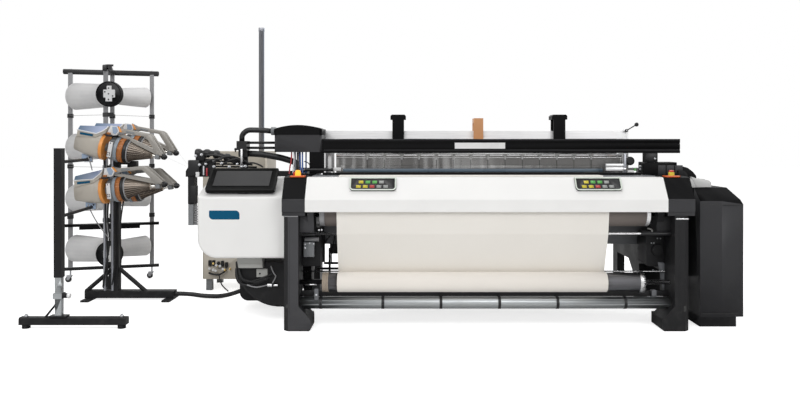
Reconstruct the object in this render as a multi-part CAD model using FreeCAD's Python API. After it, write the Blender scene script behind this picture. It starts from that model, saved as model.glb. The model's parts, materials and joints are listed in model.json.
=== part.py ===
import FreeCAD, Part
import math
import os

os.makedirs("parts", exist_ok=True)
Vec = FreeCAD.Vector

# All sizes are in millimetres. While it is modelled, X is measured from the middle plane of the
# loom (right is positive), Y from the front of its legs towards the back, Z from the floor.

# Height of the cloth at the front edge of the weaving, from which the heights around it are counted
weave_height = 984.0

# Half the width of the reed, from which the width of the whole loom is counted
reed_half = 1009.0

# Side frames and the beams between them
span_room = 191.0             # end of the reed to the inner face of a front leg
leg_width = 96.0
leg_depth = 200.0
leg_height = 735.0
leg_bevel = 30.0
flare_height = 160.0
foot_height = 73.0
foot_reach = 78.0
foot_toe = 10.0
foot_depth = 260.0
plate_inset = 25.0            # inner face of the leg to the inner face of the side plate
plate_thickness = 60.0
deck_drop = 21.0              # weaving height to the top of the side plate behind the shoulder
harness_rise = 37.0           # that deck to the top of the side plate beside the heald frames
harness_back = 900.0          # back of this raised part
rear_slope = (960.0, 900.0)   # foot of the slope behind it, as (y, z)
rear_deck_height = 860.0
tower_half = 70.0             # bearing tower of the whip roller, half its depth
tower_rise = 45.0             # axis of the whip roller to the top of its tower
tower_front_flare = 50.0
tower_back_flare = 30.0
tower_back_foot = 600.0       # height where the back of the tower widens
plate_underside = 300.0
plate_front_step = (420.0, 360.0)
leg_web = 130.0               # middle leg to the end of the web behind it
leg_web_height = 200.0
plate_windows = (((620.0, 800.0), (400.0, 600.0)), ((250.0, 400.0), (440.0, 640.0)))
middle_leg = (840.0, 980.0)   # front and back of the middle leg
rear_leg = (1430.0, 1560.0)
window_round = 30.0
cheek_inset = 90.0            # inner face of the leg to the inner face of the roller bearing cheek
cheek_thickness = 40.0
cheek_front = 80.0
cheek_bottom = 600.0
cheek_step = 690.0
cheek_lip = 14.0              # axis of the press roller to the front of its cheek
running_fit = 0.08            # radial clearance of a journal in its bearing
cross_tube_radius = 39.0
cross_tube_place = (100.0, 163.0)

# Shoulder covers and breast cover share one side profile
cover_overlap = 42.0          # inner face of a leg to the inner end of its shoulder cover
left_shoulder_width = 148.0
right_shoulder_width = 172.0
cover_bottom = 760.0
cover_bend = 839.0
cover_drop = 8.0              # weaving height to the front edge of the covers' flat top
cover_back_rise = 9.0         # front edge to back edge of that flat top
cover_setback = 100.0
cover_lip = 58.0
cover_wall = 4.0
cover_bend_radius = 14.0
shoulder_recess = 8.0
shoulder_back = 300.0
button_inset = 21.0           # inner face of a leg to the axis of its button
button_setback = 128.0
plate_size = 96.0
plate_height = 5.0
plate_front = 22.0            # axis of a button to the front edge of its plate
collar_radius = 19.0
collar_height = 12.0
button_radius = 16.5
button_stem = 9.0
button_travel = 5.0
button_height = 20.0
button_sides = 24

# Key panels on the slope of the breast cover
panel_centre = 727.0
panel_width = 300.0
panel_length = 100.0
panel_thickness = 12.0
panel_corner = 26.0
panel_recess = 3.0
panel_rim = 9.0
panel_margin = 6.0            # upper edge of a panel to the top of the slope
key_size = (30.0, 20.0, 2.0)
key_pitch = 44.0
key_row_pitch = 34.0
key_row_start = 20.0
key_rows = ((42.0, 5), (58.0, 4))     # start of a row and its count of keys

# Breast beam and cross beams
beam_setback = 305.0
beam_depth = 90.0
beam_bottom = 800.0
beam_wall = 10.0
table_thickness = 18.0
table_nose = 180.0
middle_beam = ((430.0, 560.0), (500.0, 640.0))
rear_beam = ((880.0, 960.0), (60.0, 160.0))

# Rollers
roller_end_gap = 70.0         # end of the take-up roller to its bearing cheek
take_up_place = (140.0, 740.0)
take_up_radius = 85.0
take_up_journal = 20.0
press_radius = 20.0
press_rise = 50.0
press_journal = 8.0
cloth_gap = 0.5               # between the standing cloth and a turning roller
cloth_thickness = 1.2
cloth_left_margin = 50.0      # end of the reed to the edge of the cloth
cloth_right_margin = 220.0
roll_place = (110.0, 295.0)
barrel_radius = 61.0
barrel_left_gap = 184.0       # inner face of a leg to the end of the roll's barrel
barrel_right_gap = 203.0
wound_radius = 65.0
flange_radius = 70.0
flange_width = 33.0
ring_width = 39.0
ring_groove = 3.0
ring_grooves = 3
roll_journal = 15.0
journal_depth = 35.0
guide_rod_place = (62.0, 615.0)
guide_rod_radius = 8.5
thin_rod_place = (191.0, 351.0)
thin_rod_radius = 5.0
front_bar = ((142.0, 166.0), (195.0, 230.0))
nip_slack = 0.3               # keeps the press roller off the standing cloth
fell_setback = 395.0          # front edge of the weaving, where the cloth begins

# Sley and reed
sley_axis = (520.0, 700.0)
sley_shaft_radius = 35.0
sley_journal = 25.0
sley_hub = 50.0
sword_count = 5
sword_width = 30.0
sword_spread = 1800.0
sley_overhang = 81.0          # end of the reed to the end of the sley
sley_bevel = 14.0
sley_beam_depth = (495.0, 575.0)
sley_beam_drop = 39.0         # weaving height to the top of the sley's beam
sley_beam_height = 50.0
reed_setback = 520.0
reed_depth = 12.0
reed_rise = 140.0             # weaving height to the top of the reed
reed_band = 16.0
dent_count = 31
dent_gap = 46.0
channel_rise = 16.0           # weaving height to the underside of the air channel
channel_height = 20.0
channel_depth = 6.0
nozzle_pitch = 121.0
nozzle_count = 16
nozzle_width = 8.0
nozzle_depth = 6.0
nozzle_setback = 497.0
nozzle_rise = 28.0            # weaving height to the top of a relay nozzle

# Heald frames
frame_overhang = 56.0         # end of the reed to the end of a heald frame
frame_rise = 304.0            # weaving height to the top of a heald frame at rest
frame_height = 588.0
frame_rail = 56.0
frame_stay = 22.0
frame_thickness = 12.0
frame_pitch = 12.6
frame_count = 4
frame_setback = 700.0
frame_lift = 40.0
slide_gap = 0.5

# Warp beam and whip roller
warp_axis = (1150.0, 500.0)
warp_barrel_radius = 75.0
warp_barrel_gap = 165.0       # side plate to the end of the warp beam's barrel
warp_journal = 30.0
warp_flange_radius = 350.0
warp_flange_width = 20.0
warp_radius = 220.0
warp_margin = 6.0             # edge of the cloth to the edge of the warp on its beam
whip_setback = 1380.0
whip_radius = 57.0
whip_gap = 215.0              # side plate to the end of the whip roller
whip_journal = 18.0
warp_thickness = 1.2

# Top beam, its pillars, the guides above the heald frames and the lock lever
top_beam_depth = (420.0, 480.0)
top_beam_rise = 167.0         # deck of the side plates to the underside of the beam
top_beam_height = 98.0
top_beam_left_gap = 103.0     # inner face of the left leg to the end of the beam
top_beam_right_reach = 183.0  # inner face of the right leg to the end of the beam
beam_slot_width = 12.0
beam_slot_depth = 5.0
beam_slots = (25.0, 66.0)     # underside of the beam to the middle of each slot
pillar_inset = 50.0           # inner face of a leg to the inner face of its pillar
pillar_width = 76.0
pillar_base_inset = 64.0
pillar_base_reach = 152.0
pillar_base_front = 396.0
pillar_base_back = 560.0
right_base_height = 104.0
left_base_height = 27.0
guide_places = (-574.0, 596.0)
guide_width = 84.0
guide_head_width = 112.0
guide_room = 78.0             # heald frames at their highest to the top of a guide
guide_head_height = 36.0
guide_front = 660.0
guide_blade = 22.0
guide_arm_rise = 20.0         # underside of the top beam to the underside of a guide's arm
guide_arm_height = 40.0
stop_block_place = 8.5
stop_block_width = 69.0
stop_block_room = 52.0
end_guide_width = 40.0
lever_rise = 2.0              # top of the heald frames at rest to the axis of the lever
lever_length = 86.0
lever_angle = 31.0
lever_radius = 4.0
lever_ball = 15.5
lever_hub = 11.0
lever_pin = 4.0

# Drive hood and its hoses
hood_reach = 231.0            # inner face of the left leg to the outer end of the hood
hood_depth = (410.0, 650.0)
hood_rise = 7.0               # underside of the top beam to the underside of the hood
hood_height = 188.0
hood_lid_height = 68.0
hood_case_inset = 4.0         # face of the lid to the face of the case below it
hood_crown = 28.0
hood_edge = 16.0
clamp_depth = (450.0, 560.0)
clamp_reach = 196.0           # outer end of the hood to the clamp block
clamp_length = 70.0
clamp_rise = 13.0             # underside of the hood to the underside of the clamp block
clamp_height = 64.0
elbow_length = 63.0
elbow_half = 27.0
elbow_height = 48.0
elbow_middle = 24.0           # underside of the clamp block to the axis of the lower hose
arch_gland_length = 32.0
arch_gland_radius = 29.0
arch_hose_radius = 19.0
arch_rise = 147.0             # underside of the hood to the end of the arch hose
arch_route = ((-67, 6), (-169, 8), (-208, -26))    # further points of the arch hose, from that end
lower_hose_radius = 22.0
lower_hose_route = ((87, -4), (237, -30), (346, -66), (346, None))     # from the elbow, down to the base plate
pipe_radius = 9.0
pipe_rises = (65.0, 29.0)
clamp_post = (30.0, 50.0)     # front and back of the post, behind the middle of the clamp block
post_inset = 10.0
tube_radius = 5.0
tube_pitch = 25.0
tube_count = 4
tube_setback = 60.0           # front of the hood to the row of tubes
tube_inset = 62.0             # outer end of the pillar's base to the first tube

# Left cover, terminal and nozzle carrier
side_gap = 10.0               # left leg to the cover and to the nozzle carrier beside it
left_cover_width = 567.0
left_cover_depth = (100.0, 700.0)
left_cover_height = (449.0, 958.0)
left_cover_wall = 5.0
left_cover_front_top = 849.0
left_cover_slope_depth = 320.0
left_cover_corner = 70.0
left_cover_foot_corner = 130.0
left_cover_edge = 18.0
terminal_inset = 294.0        # right end of the left cover to the middle of the terminal
terminal_width = 455.0
terminal_length = 230.0
terminal_thickness = 24.0
terminal_lean = 37.0
terminal_foot = (112.0, 892.0)
terminal_round = 16.0
terminal_lug_width = 70.0
terminal_pin = 6.0
terminal_bezel = 14.0
screen_recess = 2.0
carrier_length = 754.0
carrier_depth = (480.0, 560.0)
carrier_rail_height = 40.0
carrier_nozzle_count = 4
carrier_nozzle_radius = 6.3
carrier_nozzle_length = 330.0
carrier_nozzle_step = 30.0    # each nozzle is shorter than the one below by this
carrier_nozzle_pitch = 18.0
carrier_nozzle_rise = 14.0    # top of the rail to the lowest nozzle
carrier_nozzle_fall = 6.0     # start to end of a nozzle
carrier_block_inset = 60.0
carrier_block_width = 130.0
carrier_block_height = 86.0
carrier_block_bevel = 20.0
carrier_drop_height = 192.0
valve_height = 145.0

# Supply cabinet, signal mast and drive housing
cabinet_range = ((-2174.0, -1650.0), (1320.0, 1750.0), (95.0, 1131.0))
cabinet_edge = 14.0
cabinet_foot_radius = 24.0
cabinet_seam = 4.0
mast_place = (-1700.0, 1352.0)
mast_radius = 22.0
mast_top = 2139.0
mast_cap = 30.0
motor_top = 400.0
motor_flange = 40.0
motor_flange_foot = 100.0
motor_casting = (250.0, 600.0)         # front and back of the front casting
motor_casting_width = 365.0
motor_casting_foot = (54.0, 100.0)     # foot of its curved side: distance from the leg, and height
motor_casting_waist = (289.0, 200.0)   # middle of that side
motor_edge = 16.0
motor_box_width = 412.0
motor_box_depth = (602.0, 930.0)
motor_box_low = 70.0
motor_round = 60.0
motor_link = ((460.0, 820.0), 365.0)   # front and back of the link to the side frame, and its underside
gland_length = 60.0

# Right cabinet and the case between it and the loom
right_cabinet_gap = 110.0     # side plate to the cabinet
right_cabinet_width = 286.0
right_cabinet_depth = (90.0, 880.0)
right_cabinet_height = (70.0, 905.0)
right_cabinet_brow = 823.0
right_cabinet_brow_depth = 110.0
right_cabinet_corner = 70.0
right_cabinet_fold = 141.0    # left side of the cabinet to the fold of its front
right_cabinet_fold_depth = 14.0
plinth_inset = 37.0
case_range = ((305.0, 850.0), (300.0, 900.0))
case_hood_top = 1014.0
case_hood_depth = 260.0
case_hood_overlap = 60.0
case_hood_round = 45.0
switch_box_width = (-37.0, 77.0)      # from the left side of the cabinet
switch_box_depth = (200.0, 330.0)
switch_box_height = 56.0

# Gear boxes and motors inside the side frames
inner_gear_setback = 15.0
inner_gear_depth = 200.0
inner_gear_reach = 115.0
inner_gear_low = 380.0
inner_gear_tops = (640.0, 600.0)
inner_gear_round = 18.0
inner_motor_inset = 45.0
inner_motor_length = 20.0
inner_motor_height = 490.0
inner_motor_radius = 36.0

# Weft feeders: sizes along the axis are counted from the middle of the winding ring
feeder_column = (-2748.0, 995.0)
feeder_ring_place = -2775.0
feeder_rows = ((850.0, 1170.0, -10.0), (1140.0, 1195.0, -10.0), (850.0, 844.0, 5.3), (1140.0, 818.0, 5.3))
housing_length = 198.0
housing_back = (104.0, 112.0)
housing_middle = (146.0, 160.0)
housing_front = (188.0, 188.0)
housing_middle_share = 0.5
housing_corner = 0.3
ring_radius = 97.5
ring_half = 12.0
ring_gap = 0.3
hub_radius = 30.0
drum_radius = 86.0
second_ring_radius = 93.0
drum_end = 60.0
cone_start = 80.0
cone_end = 275.0
cone_base_radius = 81.0
cone_tip_radius = 24.0
cone_ribs = 24
cone_rib_share = 0.035        # height of a rib to the cone's radius
tip_radius = 8.0
tip_end = 462.0
feeder_arm_width = 46.0
arm_bend = 96.0
feeder_arm_clearance = 8.0
feeder_arm_height = 24.0
bracket_height = 34.0
bracket_width = 46.0

# Stands of the feeders
stand_base = ((-2976.0, -2294.0), (960.0, 1040.0), (14.0, 68.0))
stand_foot_radius = 30.0
column_size = 60.0
column_top = 1290.0
stand_leg_spread = 230.0
stand_leg_rise = 190.0
stand_leg_radius = 16.0
support_base = ((-3014.0, -2322.0), (60.0, 120.0), (25.0, 73.0))
support_foot_radius = 26.0
support_post = (-2764.0, 90.0)
support_post_size = 50.0
support_inner_size = 40.0
support_split = 330.0
support_top = 1160.0
support_knob_radius = 16.0
support_knob_height = 210.0
support_seat = -105.0         # clamp of a support arm, along the feeder's axis
support_drop = 34.0           # underside of the housing to the middle of the arm
support_arm_radius = 11.0
support_brace_rise = 90.0

# Yarn creel
creel_left = (-3416.0, 1700.0)
creel_right = (-2779.0, 1890.0)
creel_front = (-2999.0, 1410.0)
creel_middle_share = 0.507    # place of the middle post between the left and the right one
creel_height = 1830.0
creel_low_bar = 114.0
creel_post_half = 17.5
creel_bar_size = 26.0
creel_collar_half = 23.0
creel_cap_height = 16.0
creel_collar_height = 34.0
creel_rows = (1600.0, 1165.0, 730.0, 296.0)
disc_rows = (1600.0, 296.0)
disc_radius = 105.0
disc_thickness = 9.0
disc_gap = 42.0               # axis of the front post to the back of a disc
peg_size = 14.9
peg_share = 0.8               # length of a peg inside its package
disc_pin_radius = 9.0
left_package = (320.0, 115.0, 100.0, 37.0)      # length, large radius, small radius, turn inward
right_package = (280.0, 88.0, 72.0, 30.0)
package_gap = 22.0
package_tube_radius = 30.0
package_bore = 11.0
package_round = 14.0
package_sides = 18
tube_end = 10.0
tray_height = 500.0
tray_depth = 40.0
tray_wall = 3.0
tray_overhang = 62.0
tray_blade = 95.0
caster_radius = 26.0
caster_width = 20.0
caster_trail = 18.0
caster_stem = 7.0
caster_axle = 4.0
caster_fork_wall = 3.0
caster_side_gap = 1.5
caster_edge = 3.0
caster_sides = 28

# Floor hose from the feeder stand to the drive housing, points chosen by hand
hose_radius = 17.0
hose_sides = 14
hose_route = ((-2294, 1000, 41), (-2190, 1000, 41), (-2080, 1016, 18.5), (-1890, 1008, 18.5), (-1740, 925, 92))
gland_radius = 24.0


def block(x_range, y_range, z_range):
    """Box between two values on each axis."""
    corner = Vec(x_range[0], y_range[0], z_range[0])
    size = (x_range[1] - x_range[0], y_range[1] - y_range[0], z_range[1] - z_range[0])
    return Part.makeBox(size[0], size[1], size[2], corner)


def bar(start, end, radius):
    """Round bar from one point to another."""
    first = Vec(*start)
    along = Vec(*end) - first
    return Part.makeCylinder(radius, along.Length, first, along)


def bar_x(x_range, place, radius):
    """Round bar along X, with its axis at a place (y, z)."""
    return bar((x_range[0], place[0], place[1]), (x_range[1], place[0], place[1]), radius)


def pushed(points, direction):
    """Flat outline pushed along a direction."""
    return Part.Face(Part.makePolygon(points + [points[0]])).extrude(direction)


def prism_x(outline, x_range):
    """Outline in (y, z), pushed along X."""
    return pushed([Vec(x_range[0], y, z) for y, z in outline], Vec(x_range[1] - x_range[0], 0, 0))


def prism_y(outline, y_range):
    """Outline in (x, z), pushed along Y."""
    return pushed([Vec(x, y_range[0], z) for x, z in outline], Vec(0, y_range[1] - y_range[0], 0))


def prism_z(outline, z_range):
    """Outline in (x, y), pushed along Z."""
    return pushed([Vec(x, y, z_range[0]) for x, y in outline], Vec(0, 0, z_range[1] - z_range[0]))


def turned(outline, origin, direction):
    """Outline of (distance along the axis, radius), turned about an axis through the origin."""
    points = [Vec(u, r, 0) for u, r in outline]
    solid = Part.Face(Part.makePolygon(points + [points[0]])).revolve(Vec(), Vec(1, 0, 0), 360)
    solid.Placement = FreeCAD.Placement(Vec(*origin), FreeCAD.Rotation(Vec(1, 0, 0), Vec(*direction)))
    return solid


def faceted(outline, sides, origin, direction):
    """Outline of (distance along the axis, radius) carried round the axis in flat facets."""
    rings = []
    for index in range(sides):
        angle = 2 * math.pi * (index + 0.5) / sides
        rings.append([Vec(u, r * math.cos(angle), r * math.sin(angle)) for u, r in outline])
    faces = []
    for first, second in zip(rings, rings[1:] + rings[:1]):
        for index in range(len(outline)):
            after = (index + 1) % len(outline)
            corners = [first[index], first[after], second[after], second[index]]
            kept = [point for place, point in enumerate(corners) if (point - corners[place - 1]).Length > 1e-6]
            if len(kept) > 2:
                faces.append(Part.Face(Part.makePolygon(kept + kept[:1])))
    solid = Part.Solid(Part.Shell(faces)).removeSplitter()
    solid.Placement = FreeCAD.Placement(Vec(*origin), FreeCAD.Rotation(Vec(1, 0, 0), Vec(*direction)))
    return solid


def ruled(sections):
    """Solid through flat outlines with the same count of points, each pair joined by flat facets."""
    faces = [Part.Face(Part.makePolygon(section + section[:1])) for section in (sections[0], sections[-1])]
    for first, second in zip(sections, sections[1:]):
        for index in range(len(first)):
            faces.append(Part.Face(Part.makePolygon([first[index - 1], first[index], second[index], second[index - 1],
                                                     first[index - 1]])))
    return Part.Solid(Part.Shell(faces))


def joined(shapes):
    """Shapes that are one piece."""
    solid = shapes[0].fuse(shapes[1:]).removeSplitter()
    return solid.Solids[0] if len(solid.Solids) == 1 else solid


def together(shapes):
    """Separate solids that share one node."""
    return Part.makeCompound([solid for shape in shapes for solid in shape.Solids])


def mirrored(shape):
    """Same shape on the other side of the middle plane."""
    return shape.mirror(Vec(), Vec(1, 0, 0))


def edges_along(shape, axis, **places):
    """Straight edges along an axis whose middle lies at the given places."""
    direction = {"x": Vec(1, 0, 0), "y": Vec(0, 1, 0), "z": Vec(0, 0, 1)}[axis]
    found = []
    for edge in shape.Edges:
        if not isinstance(edge.Curve, Part.Line):
            continue
        if abs(abs(edge.Curve.Direction.dot(direction)) - 1) > 1e-6:
            continue
        middle = edge.CenterOfMass
        if all(abs(getattr(middle, name) - value) < 0.01 for name, value in places.items()):
            found.append(edge)
    return found


def rounded(shape, radius, edges):
    """Shape with some of its edges rounded."""
    return shape.makeFillet(radius, edges)


def bevelled(shape, size, edges):
    """Shape with some of its edges bevelled."""
    return shape.makeChamfer(size, edges)


pieces = {}


# Places that several pieces share
half_span = reed_half + span_room
cover_top = weave_height - cover_drop
deck_height = weave_height - deck_drop
sley_beam_top = weave_height - sley_beam_drop
sley_beam_range = (sley_beam_depth, (sley_beam_top - sley_beam_height, sley_beam_top))
reed_top = weave_height + reed_rise
channel_low = weave_height + channel_rise
channel_high = channel_low + channel_height
nozzle_top = weave_height + nozzle_rise
frame_top = weave_height + frame_rise
frame_bottom = frame_top - frame_height
harness_height = deck_height + harness_rise
right_base_top = deck_height + right_base_height
left_base_top = deck_height + left_base_height
top_beam_low = deck_height + top_beam_rise
top_beam_range = (top_beam_depth, (top_beam_low, top_beam_low + top_beam_height))
hood_low = top_beam_low + hood_rise
guide_top = frame_top + frame_lift + guide_room
stop_block_top = frame_top + frame_lift + stop_block_room
frame_half = reed_half + frame_overhang
lever_place = (frame_half + end_guide_width / 2, frame_top + lever_rise)
leg_outer = half_span + leg_width
plate_inner = half_span + plate_inset
plate_outer = plate_inner + plate_thickness
cheek_inner = half_span - cheek_inset
cheek_outer = cheek_inner + cheek_thickness
cover_half = half_span - cover_overlap
button_place = half_span + button_inset
roller_half = cheek_inner - roller_end_gap
cloth_left = cloth_left_margin - reed_half
cloth_right = reed_half - cloth_right_margin
barrel_left = barrel_left_gap - half_span
barrel_right = half_span - barrel_right_gap
sley_half = reed_half + sley_overhang
warp_barrel_half = plate_inner - warp_barrel_gap
warp_left = cloth_left - warp_margin
warp_right = cloth_right + warp_margin
whip_half = plate_inner - whip_gap
top_beam_left = top_beam_left_gap - half_span
top_beam_right = half_span + top_beam_right_reach
pillar_inner = half_span - pillar_inset
pillar_base_inner = half_span - pillar_base_inset
pillar_base_outer = half_span + pillar_base_reach
hood_left = -half_span - hood_reach
clamp_right = hood_left - clamp_reach
clamp_width = (clamp_right - clamp_length, clamp_right)
left_cover_right = -leg_outer - side_gap
left_cover_range = ((left_cover_right - left_cover_width, left_cover_right), left_cover_depth, left_cover_height)
terminal_centre = left_cover_right - terminal_inset
carrier_width = (left_cover_right - carrier_length, left_cover_right)
right_cabinet_left = plate_outer + right_cabinet_gap
right_cabinet_range = ((right_cabinet_left, right_cabinet_left + right_cabinet_width), right_cabinet_depth,
                       right_cabinet_height)
press_reach = take_up_radius + press_radius + 2 * cloth_gap + cloth_thickness + nip_slack
press_run = math.sqrt(press_reach ** 2 - press_rise ** 2)
press_place = (take_up_place[0] - press_run, take_up_place[1] + press_rise)
left_shoulder_outer = cover_half + left_shoulder_width
right_shoulder_outer = cover_half + right_shoulder_width
cloth_offset = cloth_gap + cloth_thickness / 2
warp_offset = cloth_gap + warp_thickness / 2
creel_middle = tuple(a + (b - a) * creel_middle_share for a, b in zip(creel_left, creel_right))
beam_top = weave_height - cloth_offset - table_thickness
whip_axis = (whip_setback, weave_height - warp_offset - whip_radius)
frames_back = frame_setback + (frame_count - 1) * frame_pitch + frame_thickness


def side_plate():
    """Cast side plate of the right frame, with its two rear legs and the tower of the whip roller."""
    tower = (whip_axis[0] - tower_half, whip_axis[0] + tower_half)
    tower_top = whip_axis[1] + tower_rise
    deck_back = pillar_base_back + 40
    outline = [
        (leg_depth / 2, plate_front_step[0]), (leg_depth / 2, leg_height - 1), (shoulder_back, leg_height - 1),
        (shoulder_back, deck_height), (deck_back, deck_height), (deck_back, harness_height),
        (harness_back, harness_height), rear_slope, (tower[0] - tower_front_flare, rear_deck_height),
        (tower[0], tower_top), (tower[1], tower_top), (tower[1] + tower_back_flare, tower_back_foot),
        (rear_leg[1], warp_axis[1] + 20), (rear_leg[1], 0), (rear_leg[0], 0), (rear_leg[0], plate_underside),
        (middle_leg[1] + leg_web, plate_underside), (middle_leg[1], leg_web_height), (middle_leg[1], 0),
        (middle_leg[0], 0), (middle_leg[0], plate_underside), plate_front_step,
    ]
    plate = prism_x(outline, (plate_inner, plate_outer))
    for y_range, z_range in plate_windows:
        window = block((plate_inner, plate_outer), y_range, z_range)
        plate = plate.cut(rounded(window, window_round, edges_along(window, "x")))
    return plate


def side_frame():
    """Right side frame casting: bevelled leg, inward foot, side plate and roller bearings."""
    inner_foot = half_span - foot_reach
    outline = [
        (leg_outer, 0), (leg_outer, leg_height), (half_span, leg_height), (half_span, flare_height),
        (inner_foot, foot_height), (inner_foot, foot_toe), (inner_foot + foot_toe, 0),
    ]
    leg = prism_y(outline, (0, leg_depth))
    leg = bevelled(leg, leg_bevel, edges_along(leg, "z", x=leg_outer, y=0))
    sole = block((inner_foot + foot_toe, leg_outer), (leg_depth, foot_depth), (0, foot_height))
    lip = press_place[0] - cheek_lip
    cheek_outline = [
        (leg_depth, cheek_bottom), (leg_depth, take_up_place[1] + 60), (take_up_place[0], press_place[1] + 30),
        (lip, press_place[1] + 20), (lip, press_place[1] - 22), (cheek_front, cheek_step), (cheek_front, cheek_bottom),
    ]
    cheek = prism_x(cheek_outline, (cheek_inner, cheek_outer))
    arm = block((cheek_inner, half_span), (cheek_front, leg_depth), (cheek_bottom, leg_height - 10))
    frame = joined([leg, sole, side_plate(), cheek, arm])
    tube_path = bar_x((0, half_span), cross_tube_place, cross_tube_radius)
    bearings = (
        (take_up_place, take_up_journal, cheek_inner, cheek_outer),
        (press_place, press_journal, cheek_inner, cheek_outer),
        (roll_place, roll_journal, half_span, half_span + journal_depth),
        (sley_axis, sley_journal, plate_inner, plate_outer),
        (warp_axis, warp_journal, plate_inner, plate_outer),
        (whip_axis, whip_journal, plate_inner, plate_outer),
    )
    holes = [bar_x((start, end), place, radius + running_fit) for place, radius, start, end in bearings]
    return frame.cut([tube_path] + holes)


def cover_profile(back, bottom):
    """Side profile of a shoulder: recess, upright front, slope and flat top, as (y, z)."""
    return [
        (shoulder_recess, bottom), (shoulder_recess, cover_bottom), (0, cover_bottom), (0, cover_bend),
        (cover_setback, cover_top), (back, cover_top + cover_back_rise), (back, bottom),
    ]


def shoulder_cover(x_range, button_x):
    """Shoulder cover over a leg, with the plate and collar of its stop button."""
    cover = prism_x(cover_profile(shoulder_back, leg_height), x_range)
    front_bend = edges_along(cover, "x", y=0, z=cover_bend)
    top_bend = edges_along(cover, "x", y=cover_setback, z=cover_top)
    cover = rounded(cover, cover_bend_radius, front_bend + top_bend)
    seat = button_seat()
    half = plate_size / 2
    plate = block((button_x - half, button_x + half), (button_setback - plate_front, button_setback + half),
                  (cover_top - 10, seat))
    collar = bar((button_x, button_setback, seat), (button_x, button_setback, seat + collar_height), collar_radius)
    hole_depth = button_stem_length() + button_travel + 2
    hole = bar((button_x, button_setback, seat + collar_height - hole_depth),
               (button_x, button_setback, seat + collar_height), button_stem + running_fit)
    return joined([cover, plate, collar]).cut(hole)


def button_seat():
    """Height of the top of a button's plate."""
    return cover_top + 4 + plate_height


def button_stem_length():
    """Length of the stem below a button's head."""
    return 2 * button_travel + 16


def stop_button(button_x):
    """Button with a domed head on a stem, above its collar by its travel."""
    rim = (button_x, button_setback, button_seat() + collar_height + button_travel + 1)
    head = faceted([
        (0, 0), (0, button_radius), (0.7 * button_height, button_radius), (0.9 * button_height, 0.85 * button_radius),
        (button_height, 0.5 * button_radius), (button_height, 0),
    ], button_sides, rim, (0, 0, 1))
    foot = (rim[0], rim[1], rim[2] - button_stem_length())
    return joined([head, bar(foot, rim, button_stem)])


def offset_points(points, distance):
    """Open line of (y, z) points moved sideways by a distance, with mitred corners."""
    moved = []
    for index, point in enumerate(points):
        normals = []
        for first, second in ((index - 1, index), (index, index + 1)):
            if first < 0 or second >= len(points):
                continue
            dy = points[second][0] - points[first][0]
            dz = points[second][1] - points[first][1]
            length = math.hypot(dy, dz)
            normals.append((dz / length, -dy / length))
        mean = (sum(n[0] for n in normals), sum(n[1] for n in normals))
        scale = distance * len(normals) / (mean[0] ** 2 + mean[1] ** 2)
        scale = scale if len(normals) == 2 else distance
        moved.append((point[0] + mean[0] * scale, point[1] + mean[1] * scale))
    return moved


def breast_cover():
    """Long folded cover between the shoulders, open at the back and below."""
    outer = [
        (0, cover_bottom), (0, cover_bend), (cover_setback, cover_top), (cover_setback + cover_lip, cover_top + 2),
    ]
    outline = outer + offset_points(outer, cover_wall)[::-1]
    cover = prism_x(outline, (-cover_half, cover_half))
    bends = edges_along(cover, "x", y=0, z=cover_bend) + edges_along(cover, "x", y=cover_setback, z=cover_top)
    return rounded(cover, cover_bend_radius, bends)


def key_panel(centre):
    """Key panel on the slope, its rim standing round a shallow field, with two rows of keys."""
    slope = Vec(0, cover_setback, cover_top - cover_bend).normalize()
    outward = Vec(0, -slope.z, slope.y)
    slope_length = math.hypot(cover_setback, cover_top - cover_bend)
    low = Vec(centre, 0, cover_bend) + slope * (slope_length - panel_length - panel_margin)
    half = panel_width / 2
    body = Part.makeBox(panel_width, panel_length, panel_thickness)
    corners = [edge for edge in edges_along(body, "z") if edge.CenterOfMass.y < panel_length / 2]
    body = rounded(body, panel_corner, corners)
    field = Part.makeBox(panel_width - 2 * panel_rim, panel_length - 2 * panel_rim, panel_recess,
                         Vec(panel_rim, panel_rim, panel_thickness - panel_recess))
    corners = [edge for edge in edges_along(field, "z") if edge.CenterOfMass.y < panel_length / 2]
    field = rounded(field, panel_corner - panel_rim, corners)
    body = body.cut(field)
    keys = []
    for row, (first, count) in enumerate(key_rows):
        for key in range(count):
            place = (first + key * key_pitch, key_row_start + row * key_row_pitch)
            keys.append(Part.makeBox(*key_size, Vec(*place, panel_thickness - panel_recess)))
    panel = joined([body] + keys)
    turn = FreeCAD.Rotation(Vec(1, 0, 0), slope, outward, "XYZ")
    panel.Placement = FreeCAD.Placement(low - Vec(half, 0, 0), turn)
    return panel


def front_cross_tube():
    """Round tube between the feet."""
    return bar_x((-half_span, half_span), cross_tube_place, cross_tube_radius)


def cross_beams():
    """Breast beam with its table, middle beam and rear beam, one solid each."""
    breast = block((-plate_inner, plate_inner), (beam_setback, beam_setback + beam_depth), (beam_bottom, beam_top))
    hollow = block((-plate_inner, plate_inner), (beam_setback + beam_wall, beam_setback + beam_depth - beam_wall),
                   (beam_bottom + beam_wall, beam_top - beam_wall))
    table_half = pillar_base_inner - 1
    table = block((-table_half, table_half), (table_nose, beam_setback + beam_depth),
                  (beam_top, beam_top + table_thickness))
    table = rounded(table, table_thickness * 0.45, edges_along(table, "x", y=table_nose))
    others = [block((-plate_inner, plate_inner), *place) for place in (middle_beam, rear_beam)]
    return together([breast.cut(hollow), table] + others)


def guide_rods():
    """Guide rod behind the cloth, thin rod above the roll and the square bar below it."""
    rod = bar_x((-half_span, half_span), guide_rod_place, guide_rod_radius)
    thin = bar_x((-half_span, half_span), thin_rod_place, thin_rod_radius)
    square = block((-half_span, half_span), *front_bar)
    return together([rod, thin, square])


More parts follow.
